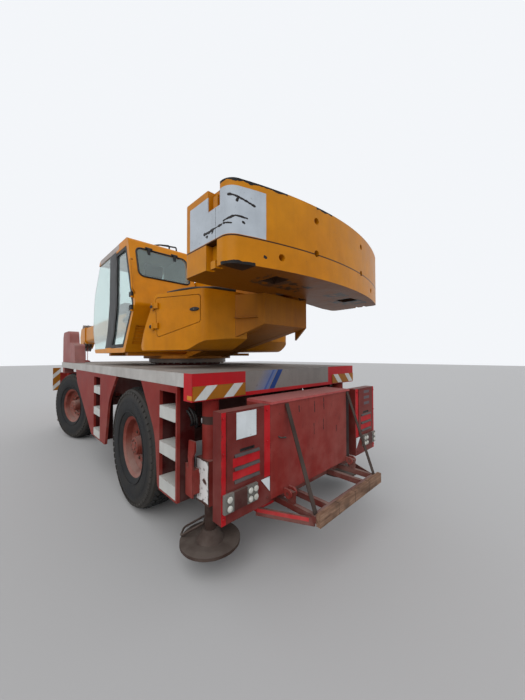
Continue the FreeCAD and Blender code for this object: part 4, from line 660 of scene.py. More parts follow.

# Side panels, ladders and steps
# Folded red plates under the deck's edge, with white pressed steps bolted into closed recesses.
# The recesses are painted dark red as their shade, the fenders have bleached to pink, and amber markers sit
# at the rear corners.
RECESS_FACE = deck_high.y - 0.030
# near-black red painted on every face set back from the panel face, as the shade in the recesses
RECESS_SHADE = (0.050, 0.003, 0.003)
step_white = weathered("step_white", (0.50, 0.50, 0.47), (0.40, 0.39, 0.36), fading=0.6, streaks=0.4,
                       dusting=0.3, chips=0.6, edges=0.7, gloss=0.45, bare=(0.16, 0.07, 0.05))
panel_red = weathered("panel_red", BRICK, BRICK_FADED, fading=0.9, streaks=0.35, dusting=0.35, chips=0.45,
                      edges=0.7, gloss=0.45, bare=(0.07, 0.022, 0.018),
                      patches=((RECESS_SHADE, at(0.1, -RECESS_FACE, 0.3), at(6.0, RECESS_FACE, 1.5), 0.0),))
fender_pink = weathered("fender_pink", (0.27, 0.085, 0.075), (0.33, 0.17, 0.155), fading=0.9, streaks=0.4,
                        dusting=0.4, chips=0.5, edges=0.7, gloss=0.5, bare=(0.09, 0.03, 0.025))
dress(panel_red, "rear_ladders", "side_panels")
dress(carrier_red, "front_bumper")
dress(fender_pink, "front_fenders")
dress(step_white, "ladder_steps")

amber_lens = weathered("amber_lens", (0.52, 0.20, 0.01), (0.45, 0.20, 0.03), fading=0.4, streaks=0.2,
                       dusting=0.2, chips=0.1, edges=0.1, gloss=0.2)
MARKER_FOOT = 1.392
CORNER_MARKER = (0.052, 0.008, 0.036)
bm = bmesh.new()
for side in (1, -1):
    face = side * deck_high.y
    outer = at(CORNER_MARKER[0], face + side * CORNER_MARKER[1], MARKER_FOOT + CORNER_MARKER[2])
    add_block(bm, at(-0.020, face, MARKER_FOOT), outer)
piece("side_markers", bm, amber_lens, "carrier", "lamp_plastic")

# bolts at both ends of the side panels
side_low, side_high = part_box("side_panels")
bm = bmesh.new()
for side in (1, -1):
    for station in (side_low.x - rear + 0.06, side_high.x - rear - 0.06):
        for height in (1.36, 1.42):
            bolt(bm, at(station, side * (side_high.y - 0.001), height), Vector((0, side, 0)), 0.009)
piece("panel_bolts", bm, carrier_red, "carrier", "carrier_paint")

# Outriggers
# Beams of folded plate with an upright jack at the end; each end plate is painted white and worn to rust.
# The jacks' rods are dull with rust, and each foot is a rusty round plate with a folded carrying handle.
jack_rust = weathered("jack_rust", (0.040, 0.021, 0.016), (0.056, 0.033, 0.025), fading=0.9, streaks=0.5,
                      dusting=0.3, chips=0.5, edges=0.5, gloss=0.6, metallic=0.2)
END_FACE = 1.100
END_WHITE = (0.70, 0.68, 0.66)
END_RUST = (0.060, 0.022, 0.016)
JACK_BAND = (0.045, 0.020, 0.016)
END_PLATES = {
    # station of the beam, side, top of the end plate
    "rear_left": (0.080, 1, 0.880), "rear_right": (0.080, -1, 1.200),
    "front_left": (6.290, 1, 0.880), "front_right": (6.290, -1, 1.200),
}
for corner, (station, side, top) in END_PLATES.items():
    inner, outer = sorted((side * (END_FACE - 0.004), side * (END_FACE + 0.004)))
    tube_inner, tube_outer = sorted((side * 0.93, side * 1.11))
    rust = (END_RUST, at(station - 0.096, inner, 0.500), at(station + 0.096, outer, top + 0.008), 0.004)
    white = (END_WHITE, at(station - 0.086, inner, 0.545), at(station + 0.086, outer, top - 0.006), 0.030)
    band = (JACK_BAND, at(station - 0.08, tube_inner, 1.170), at(station + 0.08, tube_outer, 1.236), 0.004)
    beam_finish = weathered(
        "beam_red_" + corner, BRICK, BRICK_FADED, fading=0.9, streaks=0.5, dusting=0.3, chips=0.6, edges=0.8,
        gloss=0.5, bare=(0.06, 0.022, 0.018), patches=(rust, white, band))
    dress(beam_finish, "outrigger_beam_" + corner)
    dress(jack_rust, "outrigger_jack_" + corner)


def sweep_tree():
    """Rounds the corners of lines of edges and runs a round bar along them."""
    tree, given, result = group_of(
        "sweep_bar", "GeometryNodeTree",
        {"Geometry": "Geometry", "Radius": "Float", "Bend": "Float", "Sides": "Int", "Material": "Material"},
        {"Geometry": "Geometry"})
    path = node_in(tree, "GeometryNodeMeshToCurve", {"Mesh": given["Geometry"]}).outputs["Curve"]
    path = node_in(tree, "GeometryNodeFilletCurve", {
        "Curve": path, "Radius": given["Bend"], "Count": 5, "Limit Radius": True,
    }, mode="POLY").outputs["Curve"]
    outline = node_in(tree, "GeometryNodeCurvePrimitiveCircle", {
        "Resolution": given["Sides"], "Radius": given["Radius"]}).outputs["Curve"]
    bar = node_in(tree, "GeometryNodeCurveToMesh", {
        "Curve": path, "Profile Curve": outline, "Fill Caps": True})
    end_tree(tree, bar.outputs["Mesh"], given, result)
    return tree


SWEEP = sweep_tree()


def swept(name, runs, radius, finish, body=None, slot=None, bend=0.03, closed=False, sides=12):
    """Bars or hoses along lines of points with rounded bends, as one plain mesh."""
    points, edges = [], []
    for run in runs:
        first, count = len(points), len(run)
        points += [tuple(point) for point in run]
        edges += [(first + i, first + (i + 1) % count) for i in range(count if closed else count - 1)]
    mesh = bpy.data.meshes.new(name)
    mesh.from_pydata(points, edges, [])
    made = settled(name, mesh)
    bm = bmesh.new()
    bm.from_mesh(evaluated(made, SWEEP, Radius=radius, Bend=bend, Sides=sides, Material=finish))
    bpy.data.objects.remove(made)
    return piece(name, bm, finish, body, slot, smooth=True)


# each foot's folded carrying handle, lying against its plate
FOOT_HANDLE = ((0.035, 0.040, 0.335), (0.165, 0.185, 0.232), (0.250, 0.105, 0.232), (0.120, -0.030, 0.335))
for corner, (station, side, top) in END_PLATES.items():
    run = [at(station + along, side * (1.020 + across), height) for along, across, height in FOOT_HANDLE]
    swept("foot_handle_" + corner, [run], 0.009, jack_rust, "jack_" + corner, "dark_steel", bend=0.02,
          closed=True)


def filmed(name, constants, clean, dirty, smooth, dull, scale=12.0, low=0.4, detail=5.0):
    """A material under a thin film of dirt, which changes its colour and its gloss."""
    made, tree, shader = blank(name, constants)
    film = ranged(tree, noise(tree, own_place(tree), scale, detail), low, 0.7)
    feed(tree, mixed(tree, film, (*clean, 1), (*dirty, 1)), shader["Base Color"])
    feed(tree, ranged(tree, film, 0, 1, smooth, dull), shader["Roughness"])
    return made


# hydraulic hoses looped beside each rear jack
RUBBER_BLACK = (0.010, 0.010, 0.011)
hose_rubber = filmed(
    "hose_rubber", {"Specular IOR Level": 0.3}, RUBBER_BLACK, (0.040, 0.035, 0.030), 0.4, 0.8)
HOSE_CENTRE = (0.262, 1.115, 1.215)
LOOP_POINTS = 16
LOOPS = (
    # radius, shift across, shift down
    (0.078, 0.0, 0.0), (0.070, 0.020, 0.012), (0.082, -0.022, 0.020),
)
for side, name in ((1, "left"), (-1, "right")):
    station, lateral, level = HOSE_CENTRE
    runs = [[
        at(station + loop * math.cos(turn), side * (lateral + across + 0.02 * math.sin(turn)),
           level - drop + loop * math.sin(turn))
        for turn in (math.tau * i / LOOP_POINTS for i in range(LOOP_POINTS))] for loop, across, drop in LOOPS]
    swept("hose_loops_" + name, runs, 0.011, hose_rubber, "carrier", bend=0.02, closed=True)

# Tail locker, cabinets and lamps
# A plain welded box between two lamp cabinets, hung behind the rear outriggers. Its brown-red paint has gone
# dull, with brighter strips where it was masked, a lip along the locker's top painted lighter as a highlight,
# a dark strip painted as the shade of the recess beside the right cabinet, a blank white plate and a
# reflector by the lamps.
REAR_FACE = -0.335
LENS_RIBS = 1400.0
SIGNAL = (0.44, 0.005, 0.010)
DULL_RED = (0.130, 0.012, 0.010)
LOUVRE_GREY = (0.050, 0.040, 0.042)
cabinet_patches = []
for side in (1, -1):
    for near, far, low, high, tint, ragged in (
        # distance from the middle of the machine, heights, colour, wander of the edge
        (0.722, 0.790, 0.770, 1.345, SIGNAL, 0.006),
        (1.168, 1.215, 0.550, 1.345, SIGNAL, 0.010),
        (0.845, 1.110, 0.846, 0.905, SIGNAL, 0.012),
        (0.845, 1.110, 0.937, 1.000, SIGNAL, 0.012),
        (0.850, 1.095, 0.816, 0.843, LOUVRE_GREY, 0.008),
        (0.850, 1.095, 0.906, 0.933, LOUVRE_GREY, 0.008),
        (0.850, 1.095, 1.001, 1.028, LOUVRE_GREY, 0.008),
        # a near-black strip painted as the shade inside each cabinet's handle recess
        (0.900, 1.045, 1.033, 1.057, (0.010, 0.009, 0.009), 0.004),
    ):
        across = sorted((side * near, side * far))
        cabinet_patches.append((tint, at(REAR_FACE - 0.03, across[0], low),
                                at(REAR_FACE + 0.003, across[1], high), ragged))
for height in (1.135, 1.205, 1.275):
    cabinet_patches.append(((0.10, 0.075, 0.085), at(REAR_FACE - 0.03, -1.070, height),
                            at(REAR_FACE + 0.003, -0.925, height + 0.034), 0.003))
cabinet_red = weathered("cabinet_red", DULL_RED, (0.165, 0.034, 0.026), fading=0.8, streaks=0.4,
                        dusting=0.25, chips=0.6, edges=0.7, gloss=0.4, scuffs=0.35,
                        bare=(0.05, 0.018, 0.015), patches=cabinet_patches)
LOCKER_SCRATCHES = (
    # distance to the left, low and high end
    (0.10, 1.19, 1.29), (-0.06, 1.20, 1.31), (0.11, 0.98, 1.08), (-0.05, 1.00, 1.10), (0.34, 1.23, 1.28),
    (-0.30, 0.93, 0.99),
)
locker_gouges = [
    (at(REAR_FACE, y, low), at(REAR_FACE, y + 0.004, high), 0.005) for y, low, high in LOCKER_SCRATCHES]
locker_red = weathered("locker_red", (0.225, 0.022, 0.017), (0.235, 0.052, 0.040), fading=0.9, streaks=0.7,
                       dusting=0.3, chips=1.0, edges=0.7, gloss=0.5, scuffs=0.75,
                       bare=(0.035, 0.014, 0.012), gouges=locker_gouges,
                       # a lip along the locker's top painted lighter, as a highlight
                       patches=(((0.42, 0.080, 0.075), at(-0.36, -0.6, 1.336), at(0.0, 0.75, 1.37), 0.004),
                                # a dark upright strip painted as the shade of the recess between the locker
                                # and the right cabinet
                                ((0.020, 0.006, 0.006), at(REAR_FACE - 0.01, -0.565, 0.60),
                                 at(REAR_FACE + 0.01, -0.500, 1.335), 0.006)))
rack_red = weathered("rack_red", (0.135, 0.024, 0.018), (0.165, 0.050, 0.038), fading=0.9, streaks=0.3,
                     dusting=0.45, chips=0.8, edges=0.8, gloss=0.5, bare=(0.05, 0.02, 0.015),
                     patches=((SIGNAL, at(-0.640, 0.560, 0.44), at(-0.15, 0.80, 0.470), 0.006),))
dress(cabinet_red, "rear_cabinets")
dress(locker_red, "rear_locker")
dress(rack_red, "rack")

blank_white = weathered("blank_white", (0.62, 0.65, 0.66), (0.52, 0.54, 0.54), fading=0.5, streaks=0.25,
                        dusting=0.1, chips=0.4, edges=0.3, gloss=0.35, bare=(0.10, 0.07, 0.05))
PLATE_LOW, PLATE_HIGH = (0.882, 1.130), (1.078, 1.326)
bm = bmesh.new()
add_block(bm, at(REAR_FACE - 0.0062, *PLATE_LOW), at(REAR_FACE - 0.0092, *PLATE_HIGH), 0.001)
for side in (1, -1):
    corners = [(0.829, 0.762), (0.731, 0.762), (0.731, 0.645)]
    ring_near = [bm.verts.new(at(REAR_FACE - 0.0005, side * y, z)) for y, z in corners]
    ring_far = [bm.verts.new(at(REAR_FACE - 0.004, side * y, z)) for y, z in corners]
    bm.faces.new(ring_near)
    bm.faces.new(ring_far[::-1])
    for i in range(3):
        j = (i + 1) % 3
        bm.faces.new((ring_near[i], ring_near[j], ring_far[j], ring_far[i]))
piece("blank_plates", bm, blank_white, "carrier", "step_white")

lamp_red = [
    ((0.060, 0.016, 0.013), at(-0.40, low, 0.60), at(-0.33, high, 0.80), 0.0)
    for low, high in ((0.986, 1.110), (-1.110, -0.986))]
lamp_grey = weathered(
    "lamp_grey", (0.150, 0.145, 0.130), (0.19, 0.18, 0.16), fading=0.6, streaks=0.3, dusting=0.3, chips=0.2,
    edges=0.3, gloss=0.25, patches=lamp_red)
dress(lamp_grey, "lamps")
lens_glass = filmed("lens_glass", {}, (0.66, 0.66, 0.60), (0.40, 0.38, 0.32), 0.10, 0.35, 30.0, 0.35, 4.0)
tree = lens_glass.node_tree
relieved(tree, maths(tree, "SINE", times(tree, split(tree, own_place(tree))["Y"], LENS_RIBS)), 0.5, 0.002)


def turned_pieces(name, rows, places, finish, body, slot, count=20):
    """The same turned piece at each point, along its axis, as one mesh."""
    bm = bmesh.new()
    for point, axis in places:
        lathe(bm, rows, aligned(point, axis), count)
    return piece(name, bm, finish, body, slot, smooth=True)


BACKWARD, FORWARD, UPWARD = Vector((-1, 0, 0)), Vector((1, 0, 0)), Vector((0, 0, 1))
lamps_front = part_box("lamps")[1].x
turned_pieces(
    "lens_domes", ((0, 0.0225), (0.004, 0.0215), (0.0075, 0.016), (0.0095, 0.008), (0.010, 0)),
    [(at(-0.3668, side * across, height), BACKWARD)
     for side in (1, -1) for across in (1.153, 0.959, 0.906) for height in (0.674, 0.736)],
    lens_glass, "carrier", "lamp_plastic", 24)
turned_pieces(
    "head_lamp_glass", ((0, 0.062), (0.006, 0.060), (0.012, 0.046), (0.0155, 0.024), (0.0165, 0)),
    [(Vector((lamps_front - 0.004, side * across, 1.150)), FORWARD)
     for side in (1, -1) for across in (0.560, 0.720)],
    lens_glass, "carrier", "lamp_plastic", 32)

# hook on the locker's rear plate and the bolts of both cabinets
steel_dark = weathered("steel_dark", (0.045, 0.040, 0.038), (0.09, 0.06, 0.045), fading=0.8, streaks=0.3,
                       dusting=0.4, chips=0.4, edges=0.3, gloss=0.45, metallic=0.4)
swept("locker_hook", [[at(REAR_FACE, 0.62, 1.060), at(REAR_FACE - 0.022, 0.62, 1.055),
                       at(REAR_FACE - 0.022, 0.545, 1.040), at(REAR_FACE, 0.545, 1.040)]], 0.006,
      steel_dark, "carrier", "dark_steel", bend=0.01)
bm = bmesh.new()
for side in (1, -1):
    for across in (0.757, 1.190):
        for height in (0.60, 1.05, 1.30):
            bolt(bm, at(REAR_FACE, side * across, height), BACKWARD, 0.008)
piece("cabinet_bolts", bm, cabinet_red, "carrier", "carrier_paint")

# Rear cross panel and striped boards
# A pressed panel closes the deck's rear end: bright red above and below, with a silver field and two slanting
# blue bands between. Amber boards with slanting white bars are fixed at its ends.
panel_finish = weathered("cross_panel", SIGNAL, (0.30, 0.030, 0.032), fading=0.5, streaks=0.35, dusting=0.2,
                         chips=0.5, edges=0.6, gloss=0.35)
SILVER = (0.205, 0.185, 0.168, 1)
DARK_BLUE = (0.012, 0.045, 0.19, 1)
PALE_BLUE = (0.115, 0.165, 0.34, 1)
BAND_SLOPE = 0.70
BAND_FOOT = 1.430


def between(tree, value, low, high, soft=0.0005):
    """1 where a value lies between two others."""
    above = ranged(tree, value, low - soft, low + soft)
    below = ranged(tree, value, high + soft, high - soft)
    return times(tree, above, below)


def recoated(finish, mask, paint, faded):
    """Puts other paint, fresh and faded, where a mask is 1."""
    tree = finish.node_tree
    inputs = tree.nodes["wear"].inputs
    for key, coat in (("Paint", paint), ("Faded", faded)):
        feed(tree, mixed(tree, mask, tuple(inputs[key].default_value), coat), inputs[key])


tree = panel_finish.node_tree
x_axis, y_axis, z_axis = split(tree, own_place(tree))
slant = maths(tree, "ADD", y_axis, times(tree, maths(tree, "SUBTRACT", z_axis, BAND_FOOT), BAND_SLOPE))
field = times(tree, between(tree, y_axis, -0.634, 0.716), between(tree, z_axis, 1.415, 1.61),
              maths(tree, "LESS_THAN", x_axis, rear + 0.004))
coat = mixed(tree, ranged(tree, slant, 0.62, 0.42), SILVER, PALE_BLUE)
coat = mixed(tree, between(tree, slant, 0.415, 0.62), SILVER, coat)
coat = mixed(tree, between(tree, slant, 0.450, 0.475), coat, (0.055, 0.10, 0.28, 1))
coat = mixed(tree, between(tree, slant, 0.330, 0.402), coat, DARK_BLUE)
recoated(panel_finish, field, coat, mixed(tree, 1.0, coat, (0.9, 0.9, 0.9, 1), "MULTIPLY"))
dress(panel_finish, "rear_cross_panel")

board_finish = weathered("board_finish", (0.30, 0.105, 0.006), (0.33, 0.135, 0.02), fading=0.5, streaks=0.3,
                         dusting=0.1, chips=0.7, edges=0.6, gloss=0.4)
STRIPE_STEP = 0.2765
STRIPE_START = 0.8585
STRIPE_SHARE = 0.375
tree = board_finish.node_tree
_, y_axis, z_axis = split(tree, own_place(tree))
slant = maths(tree, "ADD", maths(tree, "ABSOLUTE", y_axis), maths(tree, "SUBTRACT", z_axis, 1.390))
turns = maths(tree, "DIVIDE", maths(tree, "SUBTRACT", slant, STRIPE_START), STRIPE_STEP)
stripe = maths(tree, "LESS_THAN", maths(tree, "FRACT", turns), STRIPE_SHARE)
recoated(board_finish, stripe, (0.56, 0.56, 0.53, 1), (0.48, 0.46, 0.42, 1))
dress(board_finish, "striped_boards")

# the same board, upright, at the front left corner of the bumper
bm = bmesh.new()
bumper_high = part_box("front_bumper")[1]
add_block(bm, (bumper_high.x - 0.014, 1.185, 0.900), (bumper_high.x - 0.006, 1.345, 1.450), 0.003)
piece("front_board", bm, board_finish, "carrier", "board_amber")

# Rack timber and straps
# A rough sawn plank along the rack's edge; dark flat straps hold the rack level from the locker's top.
raw_timber, tree, shader = blank("raw_timber", {"Roughness": 0.85, "Specular IOR Level": 0.2})
place = own_place(tree)
grain = noise(tree, place, 1.0, 8.0, (60, 4, 60), 0.65)
knots = noise(tree, place, 1.0, 3.0, (14, 5, 14))
soot = noise(tree, place, 5.0, 5.0)
colour = mixed(tree, ranged(tree, grain, 0.35, 0.65), (0.125, 0.064, 0.038, 1), (0.285, 0.172, 0.112, 1))
colour = mixed(tree, ranged(tree, knots, 0.56, 0.74), colour, (0.060, 0.028, 0.018, 1))
colour = mixed(tree, ranged(tree, soot, 0.50, 0.72), colour, (0.070, 0.042, 0.030, 1))
joints = maths(tree, "LESS_THAN", maths(tree, "FRACT", times(tree, split(tree, place)["Y"], 3.6)), 0.022)
feed(tree, mixed(tree, joints, colour, (0.020, 0.012, 0.010, 1)), shader["Base Color"])
relieved(tree, grain, 0.6, 0.004)
dress(raw_timber, "rack_timber")

strap_web = weathered("strap_web", (0.026, 0.013, 0.010), (0.045, 0.025, 0.018), fading=0.8, streaks=0.3,
                      dusting=0.2, chips=0.2, edges=0.4, gloss=0.6)
strap_low, strap_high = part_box("rack_straps")
STRAP_HALF_WIDTH = 0.0225
STRAP_HALF_THICK = 0.003
STRAP_STEPS = 18
bm = bmesh.new()
for side in (strap_low.y + STRAP_HALF_WIDTH, strap_high.y - STRAP_HALF_WIDTH):
    top = Vector((strap_high.x - STRAP_HALF_THICK, side, strap_high.z))
    foot = Vector((strap_low.x + STRAP_HALF_THICK, side, strap_low.z))
    run = (foot - top) / STRAP_STEPS
    across = Vector((0, STRAP_HALF_WIDTH, 0))
    out = run.cross(across).normalized() * STRAP_HALF_THICK
    previous = None
    for i in range(STRAP_STEPS + 1):
        centre = top + run * i
        ring = [bm.verts.new(centre + a * across + b * out) for a, b in ((-1, -1), (1, -1), (1, 1), (-1, 1))]
        if previous:
            for k in range(4):
                bm.faces.new((previous[k], previous[(k + 1) % 4], ring[(k + 1) % 4], ring[k]))
        else:
            bm.faces.new(ring)
        previous = ring
    bm.faces.new(previous[::-1])
straps = piece("straps", bm, strap_web, None, "strap_webbing")
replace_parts(straps, "rack_straps")
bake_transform(straps)

# Upper works
# Chrome yellow plate work: table, side plates, sloping belly and the two counterweight slabs. The weights
# carry a masked white panel on their left rear corner, scraped by walls; their edges are rubbed black.
YELLOW = (0.500, 0.172, 0.001)
YELLOW_FADED = (0.530, 0.205, 0.004)
BROWN = (0.060, 0.030, 0.018)
crane_yellow = weathered("crane_yellow", YELLOW, YELLOW_FADED, fading=0.7, streaks=0.22, dusting=0.05,
                         chips=0.3, edges=0.45, gloss=0.28, bare=BROWN)
# a darker copy of the crane's yellow, painted as the shade on the table seen from below, with rain streaks
# from its weathering
frame_yellow_shaded = weathered("frame_yellow_shaded", (0.33, 0.105, 0.002), (0.38, 0.14, 0.01), fading=0.8, streaks=0.6,
                         dusting=0.2, chips=0.4, edges=0.5, gloss=0.35, bare=BROWN)
PANEL_WHITE = (0.47, 0.51, 0.55)
UNDERSIDE_SHADE_YELLOW = (0.190, 0.058, 0.003)
SEAM_SHADOW = (0.045, 0.016, 0.004)
INK = (0.012, 0.011, 0.011)
weight_patches = (
    (PANEL_WHITE, at(-0.70, 0.906, 2.600), at(0.135, 1.30, 2.945), 0.004),
    (YELLOW, at(-0.296, 0.90, 2.815), at(-0.128, 1.184, 3.05), 0.0),
    # a dark line painted as the shadow in the seam between the two slabs
    (SEAM_SHADOW, at(-0.75, -1.3, 2.586), at(0.30, 1.3, 2.597), 0.002),
    # the bottom band painted a darker yellow, as the shade underneath the weights
    (UNDERSIDE_SHADE_YELLOW, at(-0.80, -1.3, 2.370), at(0.35, 1.3, 2.3915), 0.0),
    # the underside ahead of the rear face painted dark brown, as its shade
    (BROWN, at(-0.38, -1.10, 2.3925), at(0.20, 1.10, 2.56), 0.0),
    (INK, at(-0.70, 0.99, 2.380), at(-0.30, 1.25, 2.412), 0.030),
    (INK, at(-0.75, 0.72, 2.982), at(-0.20, 1.25, 3.010), 0.045),
    (INK, at(-0.80, 0.18, 2.984), at(-0.50, 0.40, 3.010), 0.045),
    (BROWN, at(-0.40, 0.46, 2.340), at(-0.10, 0.76, 2.3935), 0.180),
    (INK, at(-0.36, 0.16, 2.340), at(-0.12, 0.44, 2.3935), 0.140),
    (BROWN, at(-0.45, -0.42, 2.340), at(-0.22, -0.20, 2.3935), 0.120),
    (INK, at(-0.40, -0.92, 2.340), at(-0.10, -0.50, 2.3935), 0.160),
)
WEIGHT_SIDE = 1.190
TAIL_CENTRE, TAIL_RADIUS, TAIL_END = 2.850, 3.450, 1.1157
CORNER_CENTRE, CORNER_RADIUS = (-0.3106, 1.080), 0.112


def weight_skin(side, height):
    """A point on the weights' bowed rear face, or on the rounded left corner beyond it."""
    if side < TAIL_END:
        return at(TAIL_CENTRE - math.sqrt(TAIL_RADIUS ** 2 - side ** 2), side, height)
    return at(CORNER_CENTRE[0] - math.sqrt(CORNER_RADIUS ** 2 - (side - CORNER_CENTRE[1]) ** 2), side, height)


weight_gouges = [
    (at(-0.083, WEIGHT_SIDE, 2.674), at(-0.200, WEIGHT_SIDE, 2.677), 0.011),
    (at(-0.200, WEIGHT_SIDE, 2.677), at(-0.312, WEIGHT_SIDE, 2.680), 0.008),
    (at(-0.110, WEIGHT_SIDE, 2.650), at(-0.125, WEIGHT_SIDE, 2.645), 0.010),
    (at(-0.190, WEIGHT_SIDE, 2.655), at(-0.205, WEIGHT_SIDE, 2.666), 0.008),
    (at(-0.235, WEIGHT_SIDE, 2.600), at(-0.235, WEIGHT_SIDE, 2.826), 0.0018),
]
for run, width in (
    # (side, height) of each point from the left side towards the middle, half width of the scratch
    (((1.190, 2.680), (1.180, 2.679), (1.160, 2.676)), 0.008),
    (((1.190, 2.700), (1.176, 2.709), (1.139, 2.729)), 0.007),
    (((1.139, 2.729), (1.105, 2.728), (1.055, 2.723)), 0.006),
    (((1.176, 2.880), (1.155, 2.875), (1.127, 2.867)), 0.008),
    (((1.127, 2.867), (1.070, 2.850), (0.997, 2.827)), 0.008), (((1.085, 2.690), (1.075, 2.687)), 0.008),
    (((1.128, 2.835), (1.124, 2.850)), 0.008), (((0.920, 2.470), (0.905, 2.465)), 0.008),
):
    for one, two in zip(run, run[1:]):
        weight_gouges.append((weight_skin(*one), weight_skin(*two), width))
weight_yellow = weathered("weight_yellow", YELLOW, YELLOW_FADED, fading=0.7, streaks=0.30, dusting=0.04,
                          chips=0.35, edges=0.5, gloss=0.30, bare=BROWN, patches=weight_patches,
                          gouges=weight_gouges)
dress(weight_yellow, "counterweight_lower", "counterweight_upper")
dress(frame_yellow_shaded, "turntable_frame")
dress(crane_yellow, "housing_left", "housing_door", "housing_right", "boom_base", "boom_middle", "boom_top",
      "luff_barrel")
dress(race_steel, "winch_drum", "head_sheaves")
dress(carrier_red, "hook_block")

# Left housing's fittings
# Two rubber buffers ahead of the door, a black turn latch on it, and hoses in a shallow run over the housing.
TAPER_START = (1.250, 1.140)
TAPER = math.radians(19)
TAPER_OUT = Vector((-math.sin(TAPER), math.cos(TAPER), 0))


def taper_point(back, height):
    """A point on the housing's tapered side, measured back from where the taper starts."""
    return at(TAPER_START[0] - back * math.cos(TAPER), TAPER_START[1] - back * math.sin(TAPER), height)


turned_pieces(
    "door_buffers",
    ((-0.004, 0.012), (0.014, 0.012), (0.014, 0.020), (0.030, 0.020), (0.035, 0.015), (0.036, 0)),
    [(taper_point(back, height), TAPER_OUT) for back, height in ((0.147, 2.279), (0.135, 2.060))],
    hose_rubber, "upper", "dark_plastic")
LATCH = taper_point(0.735, 2.213)
bm = bmesh.new()
lathe(bm, ((0, 0.032), (0.008, 0.032), (0.013, 0.026), (0.013, 0)), Matrix.Diagonal((1.9, 1, 0.62, 1)), 28)
bmesh.ops.transform(bm, verts=bm.verts, matrix=aligned(LATCH, TAPER_OUT))
piece("door_latch", bm, hose_rubber, "housing_door", "dark_plastic", smooth=True)
turned_pieces("latch_barrel", ((0.012, 0.010), (0.0155, 0.010), (0.0165, 0)), [(LATCH, TAPER_OUT)],
              race_steel, "housing_door", "bare_steel")
swept("housing_hoses", [[at(0.99, 0.98, 2.436), at(0.79, 0.94, 2.438), at(0.62, 0.88, 2.440),
                         at(0.46, 0.74, 2.440), at(0.40, 0.50, 2.438)],
                        [at(1.02, 0.94, 2.434), at(0.80, 0.90, 2.436), at(0.63, 0.84, 2.438),
                         at(0.49, 0.70, 2.438), at(0.44, 0.50, 2.436)],], 0.016, hose_rubber, "upper",
      "dark_plastic", bend=0.12)

# Cab
# Yellow shell, in a copy of the crane's yellow painted lighter to stand in for light, with a black painted
# post beside the door, a pale roof band, panes in black rubber, a grab handle down the rear corner and a bent
# guard on the roof.
CAB_BLACK = (0.012, 0.012, 0.013)
ROOF_PALE = (0.36, 0.30, 0.27)
LINING = (0.30, 0.33, 0.33)
CAB_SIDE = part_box("cab_shell")[1].y
# the crane's yellow painted lighter here, a lit copy that stands in for light on the cab
cab_yellow_lightened = weathered("cab_yellow_lightened", (0.570, 0.195, 0.001), (0.600, 0.235, 0.007), fading=0.7, streaks=0.25,
                       dusting=0.15, chips=0.3, edges=0.45, gloss=0.28, bare=BROWN,
                       patches=((CAB_BLACK, at(2.32, CAB_SIDE - 0.06, 1.86),
                                 at(2.92, CAB_SIDE + 0.02, 3.225), 0.0),
                                (ROOF_PALE, at(2.20, CAB_SIDE - 0.06, 3.225),
                                 at(3.16, CAB_SIDE + 0.02, 3.32), 0.0),
                                (LINING, at(1.900, 0.280, 1.845), at(3.620, CAB_SIDE - 0.062, 3.2575),
                                 0.0),))
cab_yellow_lightened.node_tree.nodes["Principled BSDF"].inputs["Specular IOR Level"].default_value = 0.12
dress(cab_yellow_lightened, "cab_shell")
tinted, _, _ = blank("tinted", {
    "Base Color": (0.78, 0.92, 0.90, 1), "Roughness": 0.04, "Transmission Weight": 0.92, "IOR": 1.45})
black_rubber = filmed("black_rubber", {"Specular IOR Level": 0.3}, RUBBER_BLACK, (0.035, 0.033, 0.031),
                      0.45, 0.75, 9.0)
dress(tinted, "cab_glass", "door_glass")
dress(black_rubber, "cab_door", "cab_console")

BACK_FOOT = (1.560, 2.385)
BACK_LEAN = (1.860 - 1.560) / (3.300 - 2.385)


def cab_back(y, height, out=0.010):
    """A point on the cab's leaning rear wall."""
    return at(BACK_FOOT[0] + (height - BACK_FOOT[1]) * BACK_LEAN - out, y, height)


swept("rear_gasket", [[cab_back(y, z, 0.004) for y, z in ((0.322, 2.767), (1.043, 2.767), (1.043, 3.173),
                                                          (0.322, 3.173))]], 0.011, black_rubber, "upper",
      "dark_plastic", bend=0.07, closed=True)
bm = bmesh.new()
for across in (0.507, 0.875):
    lathe(bm, ((-0.045, 0), (-0.045, 0.016), (0.045, 0.016), (0.045, 0)),
          aligned(cab_back(across, 3.188, 0.014), Vector((0, 1, 0))), 16)
    add_block(bm, cab_back(across - 0.018, 3.10, 0.004), cab_back(across + 0.018, 3.19, 0.016), 0.003)
piece("window_hinges", bm, black_rubber, "upper", "dark_plastic")
swept("grab_handle", [[at(1.690, 1.128, 2.960), at(1.655, 1.165, 2.955), at(1.560, 1.168, 2.560),
                       at(1.595, 1.128, 2.520)]], 0.012, crane_yellow, "upper", "crane_paint", bend=0.03)
swept("roof_guard", [[at(2.201, 0.762, 3.300), at(2.190, 0.755, 3.372), at(2.018, 0.636, 3.372),
                      at(1.900, 0.545, 3.350), at(1.90, 0.540, 3.300)],
                     [at(1.990, 0.612, 3.366), at(1.930, 0.420, 3.366), at(1.935, 0.410, 3.300)]], 0.011,
      black_rubber, "upper", "dark_plastic", bend=0.02)

